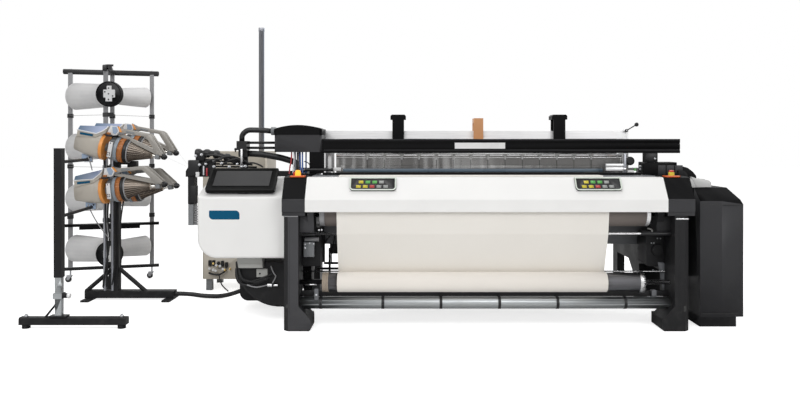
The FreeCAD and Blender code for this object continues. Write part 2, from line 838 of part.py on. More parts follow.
def add_loom_frame():
    right = side_frame()
    pieces["side_frame_right"] = right
    pieces["side_frame_left"] = mirrored(right)
    pieces["shoulder_cover_left"] = shoulder_cover((-left_shoulder_outer, -cover_half), -button_place)
    pieces["shoulder_cover_right"] = shoulder_cover((cover_half, right_shoulder_outer), button_place)
    pieces["stop_button_left"] = stop_button(-button_place)
    pieces["stop_button_right"] = stop_button(button_place)
    pieces["breast_cover"] = breast_cover()
    pieces["key_panels"] = together([key_panel(-panel_centre), key_panel(panel_centre)])
    pieces["front_cross_tube"] = front_cross_tube()
    pieces["cross_beams"] = cross_beams()
    pieces["guide_rods"] = guide_rods()


add_loom_frame()


def belt(stops, thickness):
    """Section of a thin sheet that runs over round stops, as a face in the (y, z) plane.

    A stop is (y, z, radius of the sheet's middle, side): side 1 turns left round it, side -1 right.
    The first and last stops are where the sheet starts and ends.
    """
    sides = []
    for shift in (thickness / 2, -thickness / 2):
        signed = [stop[2] * stop[3] - shift for stop in stops]
        contacts = []
        for index in range(len(stops) - 1):
            dy = stops[index + 1][0] - stops[index][0]
            dz = stops[index + 1][1] - stops[index][1]
            heading = math.atan2(dz, dy) - math.asin((signed[index + 1] - signed[index]) / math.hypot(dy, dz))
            left = (-math.sin(heading), math.cos(heading))
            for end in (index, index + 1):
                contacts.append((stops[end][0] - signed[end] * left[0], stops[end][1] - signed[end] * left[1], heading))
        edges = []
        for index in range(0, len(contacts), 2):
            first, second = contacts[index], contacts[index + 1]
            edges.append(Part.LineSegment(Vec(0, *first[:2]), Vec(0, *second[:2])).toShape())
            if index + 2 < len(contacts):
                stop = index // 2 + 1
                third = contacts[index + 2]
                change = math.remainder(third[2] - second[2], 2 * math.pi)
                if change * stops[stop][3] < 0:
                    change += 2 * math.pi * stops[stop][3]
                middle = second[2] + change / 2
                point = Vec(0, stops[stop][0] + signed[stop] * math.sin(middle),
                            stops[stop][1] - signed[stop] * math.cos(middle))
                edges.append(Part.Arc(Vec(0, *second[:2]), point, Vec(0, *third[:2])).toShape())
        sides.append((edges, contacts[0], contacts[-1]))
    first_edges, first_start, first_end = sides[0]
    second_edges, second_start, second_end = sides[1]
    caps = [
        Part.LineSegment(Vec(0, *first_end[:2]), Vec(0, *second_end[:2])).toShape(),
        Part.LineSegment(Vec(0, *second_start[:2]), Vec(0, *first_start[:2])).toShape(),
    ]
    wire = Part.Wire(Part.__sortEdges__(first_edges + second_edges + caps))
    return Part.Face(wire)


def sheet(stops, thickness, left, right):
    """Standing sheet of cloth or yarn between two places along X."""
    solid = belt(stops, thickness).extrude(Vec(right - left, 0, 0))
    solid.translate(Vec(left, 0, 0))
    return solid


def cloth_stops():
    """Way of the cloth: table nose, take-up roller, press roller, guide rod, roll."""
    nose = table_thickness * 0.45
    table_top = beam_top + table_thickness
    return [
        (fell_setback, weave_height, 0, 1),
        (table_nose + nose, table_top - nose, nose + cloth_offset, 1),
        (*take_up_place, take_up_radius + cloth_offset, -1),
        (*press_place, press_radius + cloth_offset, 1),
        (*guide_rod_place, guide_rod_radius + cloth_offset, 1),
        (*roll_place, wound_radius + cloth_offset, -1),
    ]


def warp_stops():
    """Way of the warp: from behind the reed over the whip roller to the warp beam."""
    return [
        (reed_setback + reed_depth + 12, weave_height, 0, 1),
        (*whip_axis, whip_radius + warp_offset, -1),
        (*warp_axis, warp_radius + warp_offset, -1),
    ]


def roller(half, radius, journal, journal_end, place):
    """Roller with a journal at each end."""
    outline = [(-journal_end, 0), (-journal_end, journal), (-half, journal), (-half, radius)]
    outline += [(half, radius), (half, journal), (journal_end, journal), (journal_end, 0)]
    return turned(outline, (0, *place), (1, 0, 0))


def cloth_barrel():
    """Barrel of the cloth roll: ribbed ring on the left, flange on the right, a journal at each end."""
    end = half_span + journal_depth - 1
    ring_left = barrel_left - ring_width
    outline = [(-end, 0), (-end, roll_journal), (ring_left, roll_journal)]
    step = ring_width / (2 * ring_grooves + 1)
    for groove in range(ring_grooves + 1):
        left = ring_left + 2 * groove * step
        outline += [(left, barrel_radius + ring_groove), (left + step, barrel_radius + ring_groove)]
        if groove < ring_grooves:
            outline += [(left + step, barrel_radius), (left + 2 * step, barrel_radius)]
    outline += [(barrel_left, barrel_radius), (barrel_right, barrel_radius), (barrel_right, flange_radius)]
    outline += [(barrel_right + flange_width, flange_radius), (barrel_right + flange_width, roll_journal)]
    outline += [(end, roll_journal), (end, 0)]
    return turned(outline, (0, *roll_place), (1, 0, 0))


def winding(left, right, inner, outer, place):
    """Turns wound on a barrel, as one solid."""
    return turned([(left, inner), (left, outer), (right, outer), (right, inner)], (0, *place), (1, 0, 0))


def warp_barrel():
    """Warp beam: barrel between two flanges, a journal at each end."""
    flanges = [(warp_left - warp_flange_width, warp_left), (warp_right, warp_right + warp_flange_width)]
    outline = [(-plate_outer, 0), (-plate_outer, warp_journal), (-warp_barrel_half, warp_journal)]
    outline += [(-warp_barrel_half, warp_barrel_radius)]
    for left, right in flanges:
        outline += [(left, warp_barrel_radius), (left, warp_flange_radius), (right, warp_flange_radius)]
        outline += [(right, warp_barrel_radius)]
    outline += [(warp_barrel_half, warp_barrel_radius), (warp_barrel_half, warp_journal)]
    outline += [(plate_outer, warp_journal), (plate_outer, 0)]
    return turned(outline, (0, *warp_axis), (1, 0, 0))


def sley():
    """Sley: shaft with journals, swords clamped on it, bevelled beam, relay nozzles in front of the reed."""
    shaft = roller(sley_half, sley_shaft_radius, sley_journal, plate_outer, sley_axis)
    beam = block((-sley_half, sley_half), *sley_beam_range)
    beam = bevelled(beam, sley_bevel, edges_along(beam, "x", y=sley_beam_range[0][0], z=sley_beam_range[1][0]))
    parts = [shaft, beam]
    sword_top = sley_beam_range[1][0]
    front, back = sley_beam_range[0]
    for index in range(sword_count):
        x = -sword_spread / 2 + index * sword_spread / (sword_count - 1)
        x_range = (x - sword_width / 2, x + sword_width / 2)
        outline = [
            (sley_axis[0] - sley_hub, sley_axis[1]), (front + sley_bevel, sword_top), (back, sword_top),
            (sley_axis[0] + sley_hub, sley_axis[1]),
            (sley_axis[0] + sley_hub / 2, sley_axis[1] - sley_hub), (sley_axis[0] - sley_hub / 2, sley_axis[1] - sley_hub),
        ]
        parts.append(prism_x(outline, x_range).cut(shaft))
    for index in range(nozzle_count):
        x = (index - (nozzle_count - 1) / 2) * nozzle_pitch
        outline = [
            (nozzle_setback, sley_beam_range[1][1]), (nozzle_setback, nozzle_top - 12),
            (nozzle_setback + nozzle_depth / 2, nozzle_top), (nozzle_setback + nozzle_depth, nozzle_top),
            (nozzle_setback + nozzle_depth, sley_beam_range[1][1]),
        ]
        parts.append(prism_x(outline, (x - nozzle_width / 2, x + nozzle_width / 2)))
    return together(parts)


def reed():
    """Profiled reed: a comb of dents between two bands, with the air channel along its front."""
    back = reed_setback + reed_depth
    bottom = sley_beam_range[1][1]
    outline = [
        (reed_setback, bottom), (reed_setback, channel_low), (reed_setback + channel_depth, channel_low),
        (reed_setback + channel_depth, channel_high), (reed_setback, channel_high), (reed_setback, reed_top),
        (back, reed_top), (back, bottom),
    ]
    comb = prism_x(outline, (-reed_half, reed_half))
    pitch = 2 * (reed_half - reed_band) / dent_count
    gaps = []
    for index in range(dent_count):
        x = -reed_half + reed_band + (index + 0.5) * pitch
        gaps.append(block((x - dent_gap / 2, x + dent_gap / 2), (reed_setback - 1, back + 1),
                          (bottom + reed_band, reed_top - reed_band)))
    return comb.cut(gaps)


def heald_frame(index):
    """Heald frame: upper and lower rail between two side stays."""
    front = frame_setback + index * frame_pitch
    y_range = (front, front + frame_thickness)
    inner = frame_half - frame_stay
    upper = block((-inner, inner), y_range, (frame_top - frame_rail, frame_top))
    lower = block((-inner, inner), y_range, (frame_bottom, frame_bottom + frame_rail))
    stays = [block(x_range, y_range, (frame_bottom, frame_top)) for x_range in ((-frame_half, -inner), (inner, frame_half))]
    return together([upper, lower] + stays)


def add_weaving():
    pieces["take_up_roller"] = roller(roller_half, take_up_radius, take_up_journal, cheek_outer, take_up_place)
    pieces["press_roller"] = roller(cheek_inner - 5, press_radius, press_journal, cheek_outer, press_place)
    pieces["cloth_barrel"] = cloth_barrel()
    pieces["cloth_winding"] = winding(cloth_left, cloth_right, barrel_radius, wound_radius, roll_place)
    pieces["cloth_sheet"] = sheet(cloth_stops(), cloth_thickness, cloth_left, cloth_right)
    pieces["sley"] = sley()
    pieces["reed"] = reed()
    for index in range(frame_count):
        pieces[f"heald_frame_{index + 1}"] = heald_frame(index)
    pieces["warp_barrel"] = warp_barrel()
    pieces["warp_winding"] = winding(warp_left, warp_right, warp_barrel_radius, warp_radius, warp_axis)
    pieces["whip_roller"] = roller(whip_half, whip_radius, whip_journal, plate_outer, whip_axis)
    pieces["warp_sheet"] = sheet(warp_stops(), warp_thickness, warp_left, warp_right)


add_weaving()


def top_beam():
    """Extruded beam with slots along its front, on a pillar at each end."""
    y_range, z_range = top_beam_range
    beam = block((top_beam_left, top_beam_right), y_range, z_range)
    for rise in beam_slots:
        height = z_range[0] + rise
        slot = block((top_beam_left, top_beam_right), (y_range[0], y_range[0] + beam_slot_depth),
                     (height - beam_slot_width / 2, height + beam_slot_width / 2))
        beam = beam.cut(slot)
    base = block((pillar_base_inner, pillar_base_outer), (pillar_base_front, pillar_base_back),
                 (deck_height, right_base_top))
    base = rounded(base, 10, edges_along(base, "x", z=right_base_top))
    pillar = block((pillar_inner, pillar_inner + pillar_width), (y_range[0] - 5, y_range[1] + 30),
                   (right_base_top, z_range[0]))
    return together([beam, pillar, base])


def left_pillar():
    """Pillar of the drive hood, on a base plate over the left side plate."""
    base = block((-pillar_base_outer + 46, -pillar_base_inner), (pillar_base_front, pillar_base_back),
                 (deck_height, left_base_top))
    pillar = block((-pillar_inner - 35, -pillar_inner + 60), (hood_depth[0] + 10, top_beam_depth[1] + 30),
                   (left_base_top, hood_low))
    tubes = []
    for index in range(tube_count):
        place = (-pillar_base_outer + tube_inset + index * tube_pitch, hood_depth[0] + tube_setback)
        tubes.append(bar((*place, left_base_top), (*place, hood_low), tube_radius))
    return together([base, pillar] + tubes)


def drive_hood():
    """Hood over the beam's left end: crowned lid on a case that stands a little inside it."""
    left, right = hood_left, top_beam_left
    front, back = hood_depth
    lid_low = hood_low + hood_height - hood_lid_height
    lid_edge = hood_low + hood_height - hood_crown
    corners = [Vec(right, front, lid_edge), Vec(right, front, lid_low), Vec(left, front, lid_low), Vec(left, front, lid_edge)]
    sides = [Part.LineSegment(first, second).toShape() for first, second in zip(corners, corners[1:])]
    crown = Part.Arc(corners[3], Vec((left + right) / 2, front, lid_edge + hood_crown), corners[0])
    lid = Part.Face(Part.Wire(sides + [crown.toShape()])).extrude(Vec(0, back - front, 0))
    lid = rounded(lid, hood_edge, edges_along(lid, "z", x=left) + edges_along(lid, "z", x=right, y=front))
    inset = hood_case_inset
    case = block((left + inset, right), (front + inset, back - inset), (hood_low, lid_low))
    case = rounded(case, hood_edge, edges_along(case, "z", x=left + inset) + edges_along(case, "z", x=right, y=front + inset))
    return together([lid, case])


def smooth_path(points):
    """Wire of straight runs joined by tangent arcs, each as large as its two runs allow, and the radii."""
    points = [Vec(*point) for point in points]
    edges = []
    radii = []
    start = points[0]
    for before, corner, after in zip(points, points[1:], points[2:]):
        into = (corner - before).normalize()
        out = (after - corner).normalize()
        half_turn = into.getAngle(out) / 2
        reach = 0.45 * min((corner - before).Length, (after - corner).Length)
        radii.append(reach / math.tan(half_turn))
        first = corner - into * reach
        last = corner + out * reach
        inward = (out - into).normalize()
        middle = corner + inward * (radii[-1] / math.cos(half_turn) - radii[-1])
        edges.append(Part.LineSegment(start, first).toShape())
        edges.append(Part.Arc(first, middle, last).toShape())
        start = last
    edges.append(Part.LineSegment(start, points[-1]).toShape())
    return Part.Wire(edges), radii


def hose(name, points, radius):
    """Faceted hose along a smooth path; prints its radii and compares its volume with its section."""
    path, radii = smooth_path(points)
    first = Vec(*points[0])
    turn = FreeCAD.Rotation(Vec(1, 0, 0), Vec(*points[1]) - first)
    ring = []
    for index in range(hose_sides):
        angle = 2 * math.pi * (index + 0.5) / hose_sides
        ring.append(first + turn.multVec(Vec(0, radius * math.cos(angle), radius * math.sin(angle))))
    section = Part.Wire(Part.makePolygon(ring + ring[:1]))
    solid = path.makePipeShell([section], True, False)
    share = solid.Volume / (Part.Face(section).Area * path.Length)
    print(name, "length", round(path.Length), "radii", [round(r) for r in radii], "volume", round(share, 4))
    return solid


def hood_hoses():
    """Arch hose with its gland, two pipes, their clamp block with an elbow, and the lower hose to the base plate."""
    clamp_low = hood_low + clamp_rise
    clamp_top = clamp_low + clamp_height
    clamp = block(clamp_width, clamp_depth, (clamp_low, clamp_top))
    middle = (clamp_depth[0] + clamp_depth[1]) / 2
    elbow = block((clamp_right - elbow_length, clamp_right), (middle - elbow_half, middle + elbow_half), (clamp_low - elbow_height, clamp_low))
    gland_face = hood_left - arch_gland_length
    arch_height = hood_low + arch_rise
    gland = bar((gland_face, middle, arch_height), (hood_left, middle, arch_height), arch_gland_radius)
    arch_points = [(gland_face, middle, arch_height)]
    arch_points += [(gland_face + along, middle, arch_height + up) for along, up in arch_route]
    arch = hose("arch hose", arch_points + [(arch_points[-1][0], middle, clamp_top)], arch_hose_radius)
    start = (clamp_width[1], clamp_low - elbow_middle)
    lower_points = [(start[0], middle, start[1])]
    for along, up in lower_hose_route:
        lower_points.append((start[0] + along, middle, left_base_top if up is None else start[1] + up))
    lower = hose("lower hose", lower_points, lower_hose_radius)
    pipes = []
    for rise in pipe_rises:
        pipes.append(bar((clamp_width[1], middle, hood_low + rise), (hood_left + hood_case_inset, middle, hood_low + rise),
                         pipe_radius))
    post = block((clamp_width[0] + post_inset, clamp_width[1] - post_inset),
                 (middle + clamp_post[0], middle + clamp_post[1]), (deck_height + carrier_rail_height, clamp_low))
    return together([clamp, elbow, post, gland, arch, lower] + pipes)


def guide(centre, width, head_width, top):
    """Guide over the heald frames: arm from the top beam, blade in front, head above, short blade behind."""
    half, head = width / 2, head_width / 2
    rear = frames_back + 14
    arm_low = top_beam_low + guide_arm_rise
    arm = block((centre - half, centre + half), (top_beam_depth[1], guide_front + guide_blade),
                (arm_low, arm_low + guide_arm_height))
    blade = block((centre - half, centre + half), (guide_front, guide_front + guide_blade), (arm_low, top))
    head_block = block((centre - head, centre + head), (guide_front, rear + guide_blade), (top - guide_head_height, top))
    head_block = bevelled(head_block, 10, edges_along(head_block, "y", z=top))
    behind = block((centre - half, centre + half), (rear, rear + guide_blade), (frame_top - 40, top))
    return joined([arm, blade, head_block, behind])


def end_guide():
    """Right end guide of the heald frames, on the side plate."""
    inner = frame_half + slide_gap
    y_range = (frame_setback - 2, frames_back + 2)
    post = block((inner, inner + end_guide_width), y_range, (frame_bottom, lever_place[1]))
    arm = block((inner + end_guide_width, plate_outer), y_range, (harness_height, harness_height + 20))
    return joined([post, arm])


def lock_lever():
    """Lock lever on its hub, ending in a ball."""
    angle = math.radians(lever_angle)
    y = frame_setback - 22
    start = Vec(lever_place[0], y, lever_place[1])
    along = Vec(math.cos(angle), 0, math.sin(angle))
    hub = Part.makeCylinder(lever_hub, 18, start - Vec(0, 9, 0), Vec(0, 1, 0))
    rod = Part.makeCylinder(lever_radius, lever_length, start, along)
    turns = [math.pi * step / 6 for step in range(7)]
    outline = [(-lever_ball * math.cos(turn), lever_ball * math.sin(turn)) for turn in turns]
    ball = faceted(outline, 12, tuple(start + along * lever_length), tuple(along))
    bore = Part.makeCylinder(lever_pin + running_fit, 40, start - Vec(0, 20, 0), Vec(0, 1, 0))
    return joined([hub, rod, ball]).cut(bore)


def lever_pivot():
    """Pin of the lock lever, out of the right end guide."""
    y = frame_setback - 2
    return Part.makeCylinder(lever_pin, 32, Vec(lever_place[0], y, lever_place[1]), Vec(0, -1, 0))


def heald_guides():
    """Guides above the heald frames, stop block and both end guides."""
    guides = [guide(centre, guide_width, guide_head_width, guide_top) for centre in guide_places]
    stop = guide(stop_block_place, stop_block_width, stop_block_width, stop_block_top)
    end = end_guide()
    boss = block((lever_place[0] - 14, lever_place[0] + 14), (frame_setback - 2, frames_back + 2),
                 (lever_place[1], lever_place[1] + 14))
    return together(guides + [stop, mirrored(end), joined([end, boss, lever_pivot()])])


def left_cover():
    """Left cover: rounded shell with a sloping top, open at the back, below and towards the frame."""
    x_range, y_range, z_range = left_cover_range

    def body(shrink, open_side):
        left, right = x_range[0] + shrink, x_range[1] - open_side
        front, back = y_range[0] + shrink, y_range[1]
        low, high = z_range[0] + shrink, z_range[1] - shrink
        solid = block((left, right), (front, back), (low, high))
        solid = rounded(solid, left_cover_corner - shrink, edges_along(solid, "y", x=left, z=high))
        solid = rounded(solid, left_cover_foot_corner - shrink, edges_along(solid, "y", x=left, z=low))
        rise = z_range[1] - left_cover_front_top
        wedge = prism_x([(front - 1, left_cover_front_top - shrink - rise / left_cover_slope_depth),
                         (front - 1, high + 1), (front + left_cover_slope_depth, high + 1),
                         (front + left_cover_slope_depth, high)], (left - 1, right + 1))
        return solid.cut(wedge)

    outer = body(0, 0)
    front_edges = [e for e in outer.Edges if abs(e.BoundBox.YMax - y_range[0]) < 0.01 and abs(e.BoundBox.YMin - y_range[0]) < 0.01
                   and e.CenterOfMass.x < x_range[1] - 1]
    outer = rounded(outer, left_cover_edge, front_edges)
    inner = body(left_cover_wall, -1)
    return outer.cut(inner)


def terminal_frame():
    """Placement of the terminal: X to the right, Y up its screen, Z out of it; its origin is its lower edge."""
    lean = math.radians(terminal_lean)
    up = Vec(0, math.cos(lean), math.sin(lean))
    out = Vec(0, -math.sin(lean), math.cos(lean))
    turn = FreeCAD.Rotation(Vec(1, 0, 0), up, out, "XYZ")
    return FreeCAD.Placement(Vec(terminal_centre, *terminal_foot), turn)


def terminal():
    """Terminal: slim housing with a recessed screen and a hinge lug behind."""
    half = terminal_width / 2
    body = block((-half, half), (0, terminal_length), (-terminal_thickness, 0))
    body = rounded(body, terminal_round, edges_along(body, "z"))
    edge = terminal_bezel
    screen = block((-half + edge, half - edge), (edge, terminal_length - edge), (-screen_recess, 1))
    lug_half = terminal_lug_width / 2
    middle = terminal_length / 2
    drop = -terminal_thickness - 16
    lug = joined([block((-lug_half, lug_half), (middle - 14, middle + 14), (drop, -terminal_thickness)),
                  bar((-lug_half, middle, drop), (lug_half, middle, drop), 14)])
    bore = bar((-lug_half, middle, drop), (lug_half, middle, drop), terminal_pin + running_fit)
    solid = joined([body.cut(screen), lug]).cut(bore)
    solid.Placement = terminal_frame()
    return solid


def terminal_hinge():
    """Middle of the terminal's hinge pin."""
    return terminal_frame().multVec(Vec(0, terminal_length / 2, -terminal_thickness - 16))


def terminal_bracket():
    """Bracket of the terminal: two ears with a pin, on a foot that lies on the cover's slope."""
    hinge = terminal_hinge()
    rise = (left_cover_range[2][1] - left_cover_front_top) / left_cover_slope_depth
    lug_half = terminal_lug_width / 2
    ears = []

    def slope_height(y):
        return left_cover_front_top + (y - left_cover_range[1][0]) * rise

    outline = [(hinge.y - 9, hinge.z + 9), (hinge.y + 9, hinge.z + 9), (hinge.y + 22, slope_height(hinge.y + 22)),
               (hinge.y - 22, slope_height(hinge.y - 22))]
    for start in (terminal_centre - lug_half - 10, terminal_centre + lug_half + 0.5):
        ears.append(prism_x(outline, (start, start + 9.5)))
    foot_outline = [(hinge.y - 40, slope_height(hinge.y - 40)), (hinge.y + 40, slope_height(hinge.y + 40)),
                    (hinge.y + 40, slope_height(hinge.y + 40) + 5), (hinge.y - 40, slope_height(hinge.y - 40) + 5)]
    foot = prism_x(foot_outline, (terminal_centre - lug_half - 24, terminal_centre + lug_half + 24))
    room = bar((terminal_centre - lug_half - 0.4, hinge.y, hinge.z), (terminal_centre + lug_half + 0.4, hinge.y, hinge.z), 22)
    pin = bar((terminal_centre - lug_half - 10, hinge.y, hinge.z), (terminal_centre + lug_half + 10, hinge.y, hinge.z), terminal_pin)
    return joined([foot.cut(room)] + ears + [pin])


def nozzle_carrier():
    """Carrier of the main nozzles: rail behind the left cover, nozzle block and tubes, side plate, valve boxes."""
    left, right = carrier_width
    front, back = carrier_depth
    bottom, top = deck_height, deck_height + carrier_rail_height
    rail = block(carrier_width, carrier_depth, (bottom, top))
    block_top = top + carrier_block_height
    block_right = left + carrier_block_inset + carrier_block_width
    nozzle_block = block((left + carrier_block_inset, block_right), carrier_depth, (top, block_top))
    nozzle_block = bevelled(nozzle_block, carrier_block_bevel, edges_along(nozzle_block, "y", z=block_top))
    side = prism_y([(left, top), (left + 48, block_top - 10), (left + carrier_block_inset, block_top - 10),
                    (left + carrier_block_inset, top)], carrier_depth)
    drop_low = bottom - carrier_drop_height
    drop = block((left + 16, left + carrier_block_inset), carrier_depth, (drop_low, bottom))
    valve = block((left + 24, left + carrier_block_inset - 2), (front - 20, back), (drop_low - valve_height, drop_low))
    tubes = []
    for index in range(carrier_nozzle_count):
        height = top + carrier_nozzle_rise + index * carrier_nozzle_pitch
        start = (block_right, (front + back) / 2, height)
        length = carrier_nozzle_length - index * carrier_nozzle_step
        tubes.append(bar(start, (block_right + length, start[1], height - carrier_nozzle_fall), carrier_nozzle_radius))
    return together([rail, nozzle_block, side, drop, valve] + tubes)


def add_upper_parts():
    pieces["top_beam"] = together([top_beam(), left_pillar()])
    pieces["drive_hood"] = drive_hood()
    pieces["hood_hoses"] = hood_hoses()
    pieces["heald_guides"] = heald_guides()
    pieces["lock_lever"] = lock_lever()
    pieces["left_cover"] = left_cover()
    pieces["terminal"] = terminal()
    pieces["terminal_bracket"] = terminal_bracket()
    pieces["nozzle_carrier"] = nozzle_carrier()


add_upper_parts()


def supply_cabinet():
    """Cabinet behind the left cover: rounded upright edges, door seam, four feet."""
    x_range, y_range, z_range = cabinet_range
    body = block(*cabinet_range)
    body = rounded(body, cabinet_edge, edges_along(body, "z"))
    seam_height = z_range[0] + (z_range[1] - z_range[0]) * 0.3
    seam = block(x_range, (y_range[0], y_range[0] + cabinet_seam), (seam_height, seam_height + cabinet_seam))
    body = body.cut(seam)
    inset = 2 * cabinet_foot_radius
    feet = []
    for x in (x_range[0] + inset, x_range[1] - inset):
        for y in (y_range[0] + inset, y_range[1] - inset):
            feet.append(block((x - cabinet_foot_radius, x + cabinet_foot_radius), (y - cabinet_foot_radius, y + cabinet_foot_radius),
                              (0, z_range[0])))
    return together([body] + feet)


def signal_mast():
    """Signal mast on the supply cabinet, with its cap."""
    base = cabinet_range[2][1]
    height = mast_top - base
    outline = [
        (0, 0), (0, mast_radius), (height - mast_cap, mast_radius), (height - mast_cap, mast_radius + 2),
        (height, mast_radius + 2), (height, 0),
    ]
    return turned(outline, (*mast_place, base), (0, 0, 1))


def drive_motor():
    """Drive housing below the left cover: curved front casting, box behind it, flange, link and hose gland."""
    front, back = motor_casting
    right = -leg_outer
    flange_left = right - motor_flange
    corners = [
        Vec(flange_left, front, motor_top), Vec(right - motor_casting_width, front, motor_top),
        Vec(right - motor_casting_foot[0], front, motor_casting_foot[1]), Vec(flange_left, front, motor_casting_foot[1]),
    ]
    side = Part.Arc(corners[1], Vec(right - motor_casting_waist[0], front, motor_casting_waist[1]), corners[2])
    edges = [
        Part.LineSegment(corners[0], corners[1]).toShape(), side.toShape(),
        Part.LineSegment(corners[2], corners[3]).toShape(), Part.LineSegment(corners[3], corners[0]).toShape(),
    ]
    casting = Part.Face(Part.Wire(edges)).extrude(Vec(0, back - front, 0))
    curved = [edge for edge in casting.Edges if isinstance(edge.Curve, Part.Circle) and edge.BoundBox.YMax < front + 1]
    casting = bevelled(casting, motor_edge, curved)
    box_left = right - motor_box_width
    box = block((box_left, flange_left), motor_box_depth, (motor_box_low, motor_top))
    box = rounded(box, motor_round, edges_along(box, "y", x=box_left))
    flange = block((flange_left, right), (front, motor_box_depth[1]), (motor_flange_foot, motor_top))
    link = block((right, -plate_outer), motor_link[0], (motor_link[1], motor_top))
    end, before = Vec(*hose_route[-1]), Vec(*hose_route[-2])
    gland = Part.makeCylinder(gland_radius, gland_length, end, (end - before).normalize())
    return together([joined([casting, box.cut(casting), flange]), link, gland.cut(box)])


def right_cabinet():
    """Right cabinet: folded front, brow sloping back, bevelled outer corner, on a plinth."""
    x_range, y_range, z_range = right_cabinet_range
    brow = y_range[0] + right_cabinet_brow_depth
    profile = [(y_range[0], z_range[0]), (y_range[0], right_cabinet_brow), (brow, z_range[1]), (y_range[1], z_range[1]),
               (y_range[1], z_range[0])]
    body = prism_x(profile, x_range)
    corner = prism_y([(x_range[1] - right_cabinet_corner, z_range[1] + 1), (x_range[1] + 1, z_range[1] + 1),
                      (x_range[1] + 1, z_range[1] - right_cabinet_corner * 1.5)], (y_range[0] - 1, y_range[1] + 1))
    front = y_range[0]
    fold_place = x_range[0] + right_cabinet_fold
    fold = prism_z([(fold_place, front - 1), (x_range[1] + 1, front - 1),
                    (x_range[1] + 1, front + right_cabinet_fold_depth), (fold_place, front)],
                   (z_range[0] - 1, z_range[1] + 1))
    body = body.cut([corner, fold])
    plinth = block((x_range[0] + 10, x_range[1] - plinth_inset), (y_range[0] + plinth_inset, y_range[1] - plinth_inset),
                   (0, z_range[0]))
    return joined([body, plinth])


def right_drive_case():
    """Gear case between the right side frame and the cabinet, its curved hood, and the switch box."""
    x_range = (plate_outer, right_cabinet_left)
    case = block(x_range, *case_range)
    front, top = case_range[0][0], case_hood_top
    hood = block((right_shoulder_outer + 2, right_cabinet_left), (front, front + case_hood_depth),
                 (case_range[1][1] - case_hood_overlap, top))
    hood = rounded(hood, case_hood_round, edges_along(hood, "y", z=top, x=right_cabinet_left))
    box_low = right_cabinet_height[1]
    box = block([right_cabinet_left + place for place in switch_box_width], switch_box_depth,
                (box_low, box_low + switch_box_height))
    box = rounded(box, 6, edges_along(box, "z"))
    return together([joined([case, hood]).cut([top_beam(), box]), box])


def inner_drives():
    """Gear boxes and motors inside the side frames: take-up drive on one side, its tension drive on the other."""
    solids = []
    front = leg_depth + inner_gear_setback
    for side, top in zip((-1, 1), inner_gear_tops):
        inner, outer = side * (half_span - inner_gear_reach), side * plate_inner
        gear = block((min(inner, outer), max(inner, outer)), (front, front + inner_gear_depth), (inner_gear_low, top))
        gear = rounded(gear, inner_gear_round, edges_along(gear, "y"))
        x = side * (half_span - inner_motor_inset)
        motor = bar((x, front - inner_motor_length, inner_motor_height), (x, front, inner_motor_height), inner_motor_radius)
        solids += [gear, motor]
    return together(solids)


def add_side_parts():
    pieces["supply_cabinet"] = supply_cabinet()
    pieces["signal_mast"] = signal_mast()
    pieces["drive_motor"] = drive_motor()
    pieces["right_cabinet"] = right_cabinet()
    pieces["right_drive_case"] = right_drive_case()
    pieces["inner_drives"] = inner_drives()


add_side_parts()


def feeder_axis(row):
    """Placement of a feeder: X along its axis to the tip, Z up, its origin in the middle of the ring."""
    y, z, angle = row
    turn = FreeCAD.Rotation(Vec(0, 1, 0), -angle)
    return FreeCAD.Placement(Vec(feeder_ring_place, y, z), turn)


def rounded_section(u, width, height):
    """Outline across the axis at a distance along it: straight sides, each corner turned in three equal steps."""
    radius = housing_corner * min(width, height)
    points = []
    for index, (side_y, side_z) in enumerate(((1, 1), (-1, 1), (-1, -1), (1, -1))):
        centre = Vec(u, side_y * (width / 2 - radius), side_z * (height / 2 - radius))
        for step in range(4):
            turn = math.pi / 2 * (index + step / 3)
            points.append(centre + Vec(0, radius * math.cos(turn), radius * math.sin(turn)))
    return points


def feeder_housing(row):
    """Lofted housing behind the winding ring with its hub, and the arm over the drum that guides the yarn's tip."""
    sections = [
        rounded_section(-ring_half - ring_gap - housing_length, *housing_back),
        rounded_section(-ring_half - ring_gap - housing_length * housing_middle_share, *housing_middle),
        rounded_section(-ring_half - ring_gap, *housing_front),
    ]
    shell = ruled(sections)
    hub = bar((-ring_half - ring_gap, 0, 0), (ring_half + ring_gap, 0, 0), hub_radius)
    above = ring_radius + feeder_arm_clearance
    outline = [
        (-housing_length + 20, housing_back[1] / 2), (-housing_length + 20, above + feeder_arm_height - 6),
        (-ring_half, above + feeder_arm_height), (arm_bend, above + feeder_arm_height - 6),
        (tip_end - 30, tip_radius + 22), (tip_end - 22, tip_radius), (tip_end - 52, tip_radius),
        (arm_bend - 10, above), (-ring_half - ring_gap - 6, above), (-ring_half - ring_gap - 6, housing_front[1] / 2 - 8),
    ]
    arm = prism_y(outline, (-feeder_arm_width / 2, feeder_arm_width / 2))
    opening = [
        (arm_bend + 50, above - 14), (arm_bend + 60, above + feeder_arm_height - 36),
        (tip_end - 90, tip_radius + 34), (tip_end - 90, tip_radius + 24),
    ]
    slot = prism_y(opening, (-feeder_arm_width / 2 + 7, feeder_arm_width / 2 - 7))
    housing = joined([shell, hub, arm.cut(slot)])
    housing.Placement = feeder_axis(row)
    return housing


def winding_ring(row):
    """Winding ring that turns on the hub."""
    bore = hub_radius + running_fit
    outline = [(-ring_half, bore), (-ring_half, ring_radius), (ring_half, ring_radius), (ring_half, bore)]
    ring = turned(outline, (0, 0, 0), (1, 0, 0))
    ring.Placement = feeder_axis(row)
    return ring


